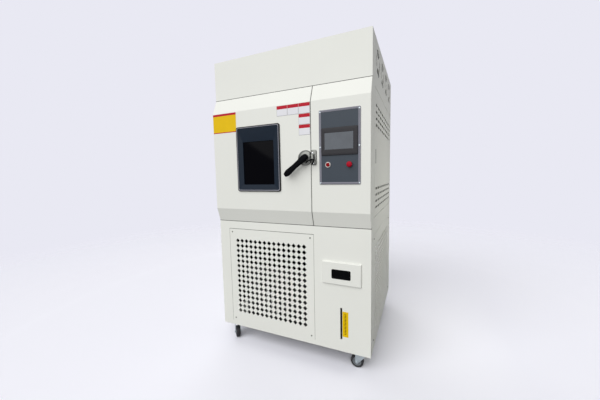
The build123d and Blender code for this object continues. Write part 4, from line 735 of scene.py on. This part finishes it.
door_low, door_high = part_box("service_door")
paddle_low, paddle_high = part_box("service_latch")
first_slot = door_low.y + ((door_high.y - door_low.y) - (SLOT_COUNT - 1) * SLOT_PITCH_Y - SLOT_W) / 2
slots = []
for row in range(SLOT_ROWS):
    for level in (door_high.z - TOP_ROW - row * ROW_PITCH, door_low.z + BOTTOM_ROW + row * ROW_PITCH):
        for column in range(SLOT_COUNT):
            start = first_slot + column * SLOT_PITCH_Y
            slots.append(slot_outline(start, start + SLOT_W, level, SLOT_H))
pull_box = (
    paddle_low.y + PULL_LAP,
    paddle_high.y - PULL_LAP,
    paddle_low.z - PULL_RISE,
    paddle_high.z + PULL_RISE,
)
door_edges = (door_low.y, door_high.y, door_low.z, door_high.z)
service_skin = punched(box_outline(*door_edges), slots + [box_outline(*pull_box)], SHEET)
flange_end = -FLANGE / MM
flange_sections = (
    (0, FOLD_R, flange_end),
    (0, FOLD_R, FLANGE_TOP),
    (2, FOLD_R, FLANGE_TOP),
    (2, FOLD_R, flange_end),
)
return_rim = skin(rim_rings(*door_edges, flange_sections, 1), wrap=True)
cup_depth = PULL_DEPTH / MM
cup_sections = (
    (-2, FOLD_R, FLANGE_TOP),
    (-2, FOLD_R, -cup_depth - 2),
    (12, FOLD_R, -cup_depth - 2),
    (12, FOLD_R, -cup_depth),
    (0, FOLD_R, -cup_depth),
    (0, FOLD_R, FLANGE_TOP),
)
pull_cup = skin(rim_rings(*pull_box, cup_sections, 1), wrap=True)
pull_floor = punched(box_outline(*pull_box), [], SHEET)
pull_floor.transform(Matrix.Translation((0, 0, -PULL_DEPTH)))
door_pieces = [service_skin, return_rim, pull_cup, pull_floor]
door_place = side_place(door_high.x)
put("service_door_sheet", door_pieces, door_place, "service", white, ("service_door",))
paddle_edges = (paddle_low.y + PADDLE_IN, paddle_high.y - PADDLE_IN, paddle_low.z, paddle_high.z)
paddle = skin(rim_rings(*paddle_edges, PADDLE_SECTIONS))
paddle_place = side_place(paddle_high.x)
put("pull_paddle", [paddle], paddle_place, "paddle", dull_zinc, ("service_latch",))

# The door's window: a moulded navy surround with a raised black rim and a grey bead inside it, a
# wide flat face and a step down to the dark filter glass. The bead's grey is a painted highlight
# along the crest of the rim. The seal behind the door is a hollow silicone section.
RIM_SECTIONS = ((0.0, 13, 0.0), (0.0, 13, 5.0), (1.0, 12, 7.4), (2.6, 11, 8.6), (6.0, 9, 8.8), (6.0, 9, 0.0))
BEAD_SECTIONS = ((6.0, 9, 0.0), (6.0, 9, 8.4), (6.8, 9, 9.0), (8.6, 8, 9.0), (9.6, 8, 8.4), (9.6, 8, 0.0))
FACE_SECTIONS = ((9.6, 8, 0.0), (9.6, 8, 6.6), (11.0, 7, 6.2))
STEP_SECTIONS = ((-2.5, 5, 6.0), (-0.8, 4, 5.2), (0.0, 3, 3.5), (0.0, 3, 0.0))
WINDOW_GROWTH = (0.0, 4 * MM, -4 * MM, 3 * MM)
navy = finish("navy_plastic", "131E2A", 0.48, 1500.0, 0.00002, 0.08, 30.0, Specular_IOR_Level=0.12)
rim_black = finish("rim_plastic", "18181A", 0.45, 1500.0, 0.00002, 0.08, 30.0, Specular_IOR_Level=0.2)
# Painted highlight: the grey bead gives the bright line along the crest of the rim.
bead_painted_highlight = finish("bead_highlight_paint", "8A8A93", 0.4, 1500.0, 0.00002, 0.05, 30.0)
dark_glass = finish("dark_glass", "030306", 0.06, 300.0, 0.0, 0.05, 6.0, Specular_IOR_Level=0.03)
silicone = finish("seal_rubber", "B9B7AE", 0.7, 800.0, 0.00004, 0.06, 30.0)
frame_low, frame_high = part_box("window_frame")
glass_low, glass_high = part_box("window_glass")
PANE_LEFT = 48 * MM
PANE_TOP = 91 * MM
PANE_LAP = 0.5 * MM
pane_edges = (
    frame_low.x + PANE_LEFT,
    glass_high.x - PANE_LAP,
    glass_low.z + PANE_LAP,
    frame_high.z - PANE_TOP,
)
frame_edges = [
    edge + growth
    for edge, growth in zip((frame_low.x, frame_high.x, frame_low.z, frame_high.z), WINDOW_GROWTH)
]
face = rim_rings(*frame_edges, FACE_SECTIONS, 8)
face += rim_rings(*pane_edges, STEP_SECTIONS, 8)
window_place = front_place(frame_high.y)
surround = skin(face, wrap=True)
put("window_surround", [surround], window_place, "door", navy, ("window_frame",))
frame_rings = (("window_rim", RIM_SECTIONS, rim_black), ("window_bead", BEAD_SECTIONS, bead_painted_highlight))
for ring_name, sections, material in frame_rings:
    ring = skin(rim_rings(*frame_edges, sections, 8), wrap=True)
    put(ring_name, [ring], window_place, "door", material)
dress(dark_glass, "window_glass")
SEAL_SECTIONS = (
    (1, 9, 0),
    (0, 10, 2),
    (0.6, 10, 5),
    (3.5, 9, 7.6),
    (8, 6, 7.8),
    (12, 4, 5),
    (13.5, 3, 2),
    (13.5, 3, 0),
)
seal_low, seal_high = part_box("door_gasket")
seal = skin(rim_rings(seal_low.x, seal_high.x, seal_low.z, seal_high.z, SEAL_SECTIONS), wrap=True)
place_behind = Matrix(((1, 0, 0, 0), (0, 0, 1, seal_low.y), (0, 1, 0, 0), (0, 0, 0, 1)))
put("door_seal", [seal], place_behind, "door", silicone, ("door_gasket",))

# The door's hinges: chromed lift-off knuckles on pins, whose leaves are screwed to the left side
# of the cabinet and of the door.
chrome = finish("chrome", "B4B4B4", 0.14, 300.0, 0.0, 0.04, 12.0, Metallic=1.0)
dress(chrome, "door_hinge_fixed", "door_hinge_leaves")

# The stick-on label plates on the door: thin film, left blank in its own colours, a yellow one at
# the upper left and five white ones with red bands at the upper right.
LABEL_T = 0.4
YELLOW_LABEL = (3, 181, 1398, 1517)
RED_BAND = 13
FOOT_BAND = 5
SMALL_W = 67
SMALL_H = 57
SMALL_RIGHT = 673
SMALL_TOP = 1517
SMALL_BAND = 19
SMALL_GAP = 1.5
SMALL_MARGIN = 1.2
SMALL_FOOT = 1.8
EDGE_T = LABEL_T * 0.75
BAND_T = LABEL_T * 1.5
FILM_R = 1.5
FILM_EDGE = 0.1
yellow_film = finish("yellow_film", "DDB600", 0.5, 900.0, 0.0, 0.03, 20.0, Specular_IOR_Level=0.15)
red_film = finish("red_film", "B01228", 0.5, 900.0, 0.0, 0.04, 20.0, Specular_IOR_Level=0.15)
white_film = finish("white_film", "DCDCE1", 0.5, 900.0, 0.0, 0.02, 20.0, Specular_IOR_Level=0.2)
film_edge = finish("film_edge", "94949B", 0.5, 900.0, 0.0, 0.02, 20.0, Specular_IOR_Level=0.2)
shell_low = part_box("door_shell")[0]


def film(name, u0, u1, v0, v1, height, material, body, y):
    """A thin stuck-on plate with rounded corners; sizes in millimetres from the left edge and floor."""
    edges = (shell_low.x + u0 * MM, shell_low.x + u1 * MM, v0 * MM, v1 * MM)
    sections = ((0, FILM_R, 0), (0, FILM_R, height - FILM_EDGE), (FILM_EDGE, FILM_R, height))
    put(name, [skin(rim_rings(*edges, sections, 3))], front_place(y), body, material)


u0, u1, v0, v1 = YELLOW_LABEL
film("yellow_label", u0, u1, v0, v1, LABEL_T, yellow_film, "door", shell_low.y)
film("yellow_label_top_band", u0, u1, v1 - RED_BAND, v1, BAND_T, red_film, "door", shell_low.y)
film("yellow_label_foot_band", u0, u1, v0, v0 + FOOT_BAND, BAND_T, red_film, "door", shell_low.y)
small_spots = [(2, 0), (1, 0), (0, 0), (0, 1), (0, 2)]
for index, (left, down) in enumerate(small_spots, 1):
    right = SMALL_RIGHT - left * (SMALL_W + SMALL_GAP)
    top = SMALL_TOP - down * (SMALL_H + SMALL_GAP)
    size = (right - SMALL_W, right, top - SMALL_H, top)
    film(f"small_label_edge_{index}", *size, EDGE_T, film_edge, "door", shell_low.y)
    size = (right - SMALL_W + SMALL_MARGIN, right - SMALL_MARGIN, top - SMALL_H + SMALL_FOOT, top)
    film(f"small_label_{index}", *size, LABEL_T, white_film, "door", shell_low.y)
    size = (right - SMALL_W, right, top - SMALL_BAND, top)
    film(f"small_label_band_{index}", *size, BAND_T, red_film, "door", shell_low.y)

# The latch: a nickel-plated rose on the door, cut straight at the seam, a black moulded lever on
# its hub, and a nickel-plated keeper on the control section that the lever's jaw pulls against.
# The jaw and its hook are black as painted shade, the shadow between the rose and the keeper.
ROSE_R = 42.0
ROSE_SPREAD = 1.1
ROSE_LAP = 0.9 * MM
ROSE_PROFILE = (
    (ROSE_R, 0),
    (ROSE_R, 3),
    (ROSE_R - 2, 6),
    (ROSE_R - 8, 10),
    (27, 13),
    (21, 14),
    (20, 16),
    (19, 33),
)
lever_joint = Vector(joints["latch_turn"]["pos_m"])
rose_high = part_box("latch_base")[1]
LEVER_DROOP = 38.0
LEVER_SECTIONS = (
    (-27, 8, 5, 6),
    (-24, 12, 8, 7),
    (-15, 17, 9.5, 7.5),
    (0, 19, 9.5, 7.5),
    (16, 18, 9, 8),
    (36, 15.5, 8.5, 8.5),
    (66, 15, 7.5, 8.5),
    (94, 16.5, 8, 8.5),
    (114, 18, 8.5, 8.5),
    (128, 17, 8, 8.5),
    (138, 13.5, 7, 8.5),
    (144, 11.5, 6, 8.5),
    (145, 10, 5, 8.5),
)
LEVER_OFFSET = Matrix.Translation((2 * MM, 0, -6 * MM))
JAW_PATH = ((9, -30), (16, -25), (24, -19), (33, -15), (42, -12), (50, -11), (58, -13))
HOOK_PATH = ((58, -12), (57, -19), (53, -28), (47, -38))
JAW_T = 8 * MM
JAW_SEAT = 2 * MM
JAW_HALF_W = 2.6
HOOK_HALF_W = 4.2
satin_nickel = finish("satin_nickel", "6A6B66", 0.36, 300.0, 0.0, 0.12, 60.0, Metallic=1.0)


def cut_rose(profile, cut, steps=48):
    """Rings of a turned rose that is cut straight on one side."""
    rings = turned(profile, steps=steps)
    return [[(min(u * (ROSE_SPREAD if u < 0 else 1), cut), v, w) for u, v, w in ring] for ring in rings]


def bar_rings(sections, steps=20):
    """Rings of a moulded bar from (place along it, half width, half depth, height of its middle)."""
    rings = []
    for along, half_width, half_depth, height in sections:
        ring = []
        for step in range(steps):
            angle = 2 * math.pi * step / steps
            c, s = math.cos(angle), math.sin(angle)
            squash = (abs(c) ** 3 + abs(s) ** 3) ** (-1 / 3)
            ring.append((along * MM, half_width * MM * c * squash, (height + half_depth * s * squash) * MM))
        rings.append(ring)
    return rings


seam_cut = rose_high.x + ROSE_LAP - lever_joint.x
rose = skin(cut_rose(ROSE_PROFILE, seam_cut))
latch_place = Matrix.Translation((lever_joint.x, 0, lever_joint.z)) @ front_place(rose_high.y)
put("latch_rose", [rose], latch_place, "door", satin_nickel, ("latch_base",), sharp=50)
lever_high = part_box("latch_lever")[1]
droop = math.radians(LEVER_DROOP)
lever_place = (
    LEVER_OFFSET
    @ Matrix.Translation((lever_joint.x, 0, lever_joint.z))
    @ front_place(lever_high.y)
    @ Matrix.Rotation(math.pi + droop, 4, "Z")
)
lever_black = finish("lever_black", "060709", 0.42, 1400.0, 0.00003, 0.12, 60.0, Specular_IOR_Level=0.03)
lever = skin(bar_rings(LEVER_SECTIONS))
put("lever_handle", [lever], lever_place, "latch", lever_black, ("latch_lever",), sharp=60)


def flat_bar(path, half_width, thickness):
    """A flat bar that follows a path of millimetres from the lever's axis."""
    ahead, back = [], []
    for index, (u, v) in enumerate(path):
        before, after = path[max(index - 1, 0)], path[min(index + 1, len(path) - 1)]
        run = Vector((after[0] - before[0], after[1] - before[1])).normalized() * half_width
        ahead.append(((u + run.y) * MM, (v - run.x) * MM))
        back.append(((u - run.y) * MM, (v + run.x) * MM))
    return punched(ahead + back[::-1], [], thickness)


# Painted shade: the black jaw and hook stand for the shadow between the chrome pieces.
jaw_place = Matrix.Translation((lever_joint.x, 0, lever_joint.z)) @ front_place(lever_high.y + JAW_SEAT)
jaw = [flat_bar(JAW_PATH, JAW_HALF_W, JAW_T), flat_bar(HOOK_PATH, HOOK_HALF_W, JAW_T)]
put("latch_jaw_painted_shade", jaw, jaw_place, "latch", lever_black, bevel=1.0)
KEEPER_SECTIONS = ((0, 9, 0), (0, 9, 4), (1.2, 9, 6), (3.5, 8, 7), (6, 6, 7))
LUG_SECTIONS = ((0, 5, 6), (0, 5, 17), (1.5, 5, 19.5), (4, 4, 20))
# Painted shade: a thin black strip beside the keeper's lug stands for the lug's shadow on the keeper.
KEEPER_SHADE_SECTIONS = ((0, 1, 6), (0, 1, 9))
LUG_LEFT_IN = 3 * MM
LUG_RIGHT_IN = 13 * MM
LUG_DOWN = 16 * MM
LUG_UP = 18 * MM
KEEPER_SHADE_IN = 12.5 * MM
KEEPER_SHADE_W = 2.4 * MM
KEEPER_SHADE_DOWN = 12 * MM
KEEPER_SHADE_UP = 20 * MM
SCREW_SEAT = 6.8 * MM
LOWER_SCREW = (17 * MM, 10 * MM)
UPPER_SCREW = (11 * MM, 17 * MM)
keeper_low, keeper_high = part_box("strike_plate")
axis = lever_joint.z
keeper = skin(rim_rings(keeper_low.x, keeper_high.x, keeper_low.z, keeper_high.z, KEEPER_SECTIONS))
lug_edges = (keeper_low.x + LUG_LEFT_IN, keeper_high.x - LUG_RIGHT_IN, axis - LUG_DOWN, axis + LUG_UP)
lug = skin(rim_rings(*lug_edges, LUG_SECTIONS))
shade_left = keeper_high.x - KEEPER_SHADE_IN
pad = skin(rim_rings(shade_left, shade_left + KEEPER_SHADE_W, axis - KEEPER_SHADE_DOWN, axis + KEEPER_SHADE_UP, KEEPER_SHADE_SECTIONS, 2))
screw_spots = (
    (keeper_low.x + LOWER_SCREW[0], keeper_low.z + LOWER_SCREW[1]),
    (keeper_low.x + UPPER_SCREW[0], keeper_high.z - UPPER_SCREW[1]),
)
keeper_screws = []
for spot in screw_spots:
    screw = turned(SCREW_PROFILE, spot, 20)
    keeper_screws.append(skin([[(u, v, w + SCREW_SEAT) for u, v, w in ring] for ring in screw]))
keeper_place = front_place(keeper_high.y)
put("keeper", [keeper, lug], keeper_place, "cabinet", satin_nickel, ("strike_plate",), sharp=45)
# The black strip beside the lug is painted shade.
put("keeper_painted_shade", [pad], keeper_place, "cabinet", black_plastic)
put("keeper_screws", keeper_screws, keeper_place, "cabinet", chrome)

# The instrument plate: slate-painted sheet inside a paler rim, held by six plated screws. On
# it sit the operator panel, a flush push button in a metal ring and a red mushroom button.
RIM_W = 12.0
RIM_RIGHT_OUT = 3 * MM
RIM_TOP_OUT = 4 * MM
PLATE_RIM_SECTIONS = (
    (0, 5, -2.6),
    (0, 5, 0.6),
    (0.6, 5, 1.0),
    (RIM_W - 0.6, 2, 1.0),
    (RIM_W, 2, 0.6),
    (RIM_W, 2, -0.2),
)
slate = finish("slate_paint", "2D363F", 0.5, 700.0, 0.00002, 0.04, 12.0, Specular_IOR_Level=0.3)
rim_paint = finish("rim_paint", "72727C", 0.45, 700.0, 0.00002, 0.04, 12.0, Specular_IOR_Level=0.3)
panel_black = finish("panel_black", "1D1C1F", 0.5, 1500.0, 0.00002, 0.08, 40.0, Specular_IOR_Level=0.25)
screen_glass = finish("screen_glass", "474D54", 0.2, 500.0, 0.0, 0.12, 14.0, Specular_IOR_Level=0.3)
red_plastic = finish("red_plastic", "A00622", 0.5, 900.0, 0.0, 0.06, 60.0, Specular_IOR_Level=0.12)
dark_red = finish("dark_red_plastic", "820008", 0.5, 900.0, 0.0, 0.06, 60.0, Specular_IOR_Level=0.1)
ring_metal = finish("ring_metal", "C6C1BB", 0.4, 900.0, 0.0, 0.03, 60.0, Metallic=0.4)
dress(slate, "instrument_plate")
plate_low, plate_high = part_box("instrument_plate")
rim_edges = (plate_low.x, plate_high.x + RIM_RIGHT_OUT, plate_low.z, plate_high.z + RIM_TOP_OUT)
plate_rim = skin(rim_rings(*rim_edges, PLATE_RIM_SECTIONS), wrap=True)
plate_place = front_place(plate_low.y)
put("plate_rim", [plate_rim], plate_place, "cabinet", rim_paint)
middle_z = (plate_low.z + plate_high.z) / 2
screw_columns = (plate_low.x + 6 * MM, plate_high.x - 3 * MM)
screw_rows = (plate_low.z + 8 * MM, middle_z + 4 * MM, plate_high.z - 6 * MM)
plate_screws = [skin(turned(SCREW_PROFILE, (u, v), 16)) for u in screw_columns for v in screw_rows]
put("plate_screws", plate_screws, front_place(plate_low.y - MM), "cabinet", zinc)
BEZEL_LEFT_IN = 4 * MM
BEZEL_SECTIONS = ((0, 5, 0), (0, 5, 3.5), (1, 5, 5.4), (3, 4, 6.0), (13, 3, 6.0))
SCREEN_SECTIONS = ((-1.6, 2, 5.8), (0, 1.5, 4.6), (0, 1.5, 0))
bezel_low, bezel_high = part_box("hmi_housing")
screen_low, screen_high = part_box("hmi_screen")
bezel = rim_rings(bezel_low.x + BEZEL_LEFT_IN, bezel_high.x, bezel_low.z, bezel_high.z, BEZEL_SECTIONS)
bezel += rim_rings(screen_low.x, screen_high.x, screen_low.z, screen_high.z, SCREEN_SECTIONS)
housing = skin(bezel, wrap=True)
put("operator_panel", [housing], plate_place, "cabinet", panel_black, ("hmi_housing",))
dress(screen_glass, "hmi_screen")
power_low, power_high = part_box("power_button")
stop_low, stop_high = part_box("stop_button")
POWER_SHIFT = 2 * MM
STOP_SHIFT = 3 * MM
power_spot = (
    (power_low.x + power_high.x) / 2 + POWER_SHIFT,
    (power_low.z + power_high.z) / 2 - POWER_SHIFT,
)
stop_spot = (
    (stop_low.x + stop_high.x) / 2 + STOP_SHIFT,
    (stop_low.z + stop_high.z) / 2 - STOP_SHIFT,
)
RING_PROFILE = ((10.6, 0), (14.8, 0), (14.8, 2.6), (14.2, 4.4), (12.4, 5.0), (11.2, 4.4), (10.6, 2.4))
STOP_RING = [(radius - 1.6, height * 0.8) for radius, height in RING_PROFILE]
CAP_PROFILE = ((10.3, -3), (10.3, 4.5), (9.4, 6.0), (6, 6.8), (2, 6.8))
MUSHROOM_PROFILE = (
    (8.8, -3),
    (8.8, 7.6),
    (14, 8.4),
    (15, 10.5),
    (15, 14),
    (13.6, 17.5),
    (10.5, 19.6),
    (6, 20.3),
    (1.5, 20.4),
)
rings = [
    skin(turned(profile, spot, 40), wrap=True)
    for profile, spot in ((RING_PROFILE, power_spot), (STOP_RING, stop_spot))
]
put("button_rings", rings, plate_place, "cabinet", ring_metal, ("button_collars",))
cap = skin(turned(CAP_PROFILE, power_spot, 32))
put("power_cap", [cap], plate_place, "power", dark_red, ("power_button",))
mushroom = skin(turned(MUSHROOM_PROFILE, stop_spot, 40))
put("stop_cap", [mushroom], plate_place, "stop", red_plastic, ("stop_button",))

# The water drawer: a raised painted front with bevelled edges on a folded tray, and a black
# moulded finger pull let into it. The moulded tank behind it is clear.
DRAWER_BEVEL = 4
PULL_GROWTH = 3 * MM
TRAY_DEPTH = 20
drawer_low, drawer_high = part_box("drawer_front")
pull_low, pull_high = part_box("drawer_pull")
lower_face = grille_low.y
face_depth = (lower_face - drawer_low.y) / MM
drawer_edges = (drawer_low.x, drawer_high.x, drawer_low.z, drawer_high.z)
pull_edges = (
    pull_low.x - PULL_GROWTH,
    pull_high.x + PULL_GROWTH,
    pull_low.z - PULL_GROWTH,
    pull_high.z + PULL_GROWTH,
)
drawer_sections = (
    (0, 3, 0.3),
    (0, 3, 2),
    (1.5, 3, face_depth - 3),
    (DRAWER_BEVEL, 3, face_depth),
)
tray_sections = ((4, 1, -TRAY_DEPTH), (4, 1, 0.3), (6, 1, 0.3), (6, 1, -TRAY_DEPTH))
drawer_skin = rim_rings(*drawer_edges, drawer_sections, 3)
drawer_skin += rim_rings(*pull_edges, ((1, 6, face_depth), (1, 6, 0.3)), 3)
tray = rim_rings(*drawer_edges, tray_sections, 3)
drawer_pieces = [skin(drawer_skin, wrap=True), skin(tray, wrap=True)]
drawer_place = front_place(lower_face)
drawer_node = ("drawer_front",)
put("drawer_cover", drawer_pieces, drawer_place, "drawer", white, drawer_node, sharp=15)
pull_black = finish("pull_black", "050506", 0.4, 1400.0, 0.00003, 0.1, 60.0, Specular_IOR_Level=0.03)
pull_sections = (
    (0, 7, face_depth),
    (0, 7, face_depth + 1),
    (1, 7, face_depth + 2),
    (4, 6, face_depth + 2),
    (6, 4, face_depth + 1),
    (7, 4, face_depth - 6),
    (8, 3, face_depth - 14),
)
pull = skin(rim_rings(*pull_edges, pull_sections, 3))
put("finger_pull", [pull], drawer_place, "drawer", pull_black, ("drawer_pull",))
clear = finish("clear_plastic", "DCE4E8", 0.12, 300.0, 0.0, 0.02, 10.0, Transmission_Weight=0.7)
dress(clear, "water_tank")

# The level gauge: a tube of dark brown water behind a slot, with a yellow strip stuck beside it
# that carries plain tick marks for the level.
STRIP = (842, 876, 200, 349)
TICK_COUNT = 15
TICK_PITCH = 8.2
TICK_FOOT = 216
TICK_W = 11
TICK_H = 3.6
TICK_T = LABEL_T * 1.4
tick_left = (STRIP[0] + STRIP[1] - TICK_W) / 2
brown_water = finish("brown_water", "17110F", 0.2, 300.0, 0.0, 0.1, 10.0, Specular_IOR_Level=0.15)
tick_ink = finish("tick_ink", "2A2008", 0.6, 900.0, 0.0, 0.05, 20.0, Specular_IOR_Level=0.1)
dress(brown_water, "sight_gauge")
film("gauge_strip", *STRIP, LABEL_T, yellow_film, "cabinet", lower_face)
for index in range(TICK_COUNT):
    foot = TICK_FOOT + index * TICK_PITCH
    size = (tick_left, tick_left + TICK_W, foot, foot + TICK_H)
    film(f"level_tick_{index + 1}", *size, TICK_T, tick_ink, "cabinet", lower_face)

# The rear fittings: a black moulded cable gland and the drain nipple, each screwed into its own
# hole in the rear sheet.
dress(black_plastic, "rear_fittings")
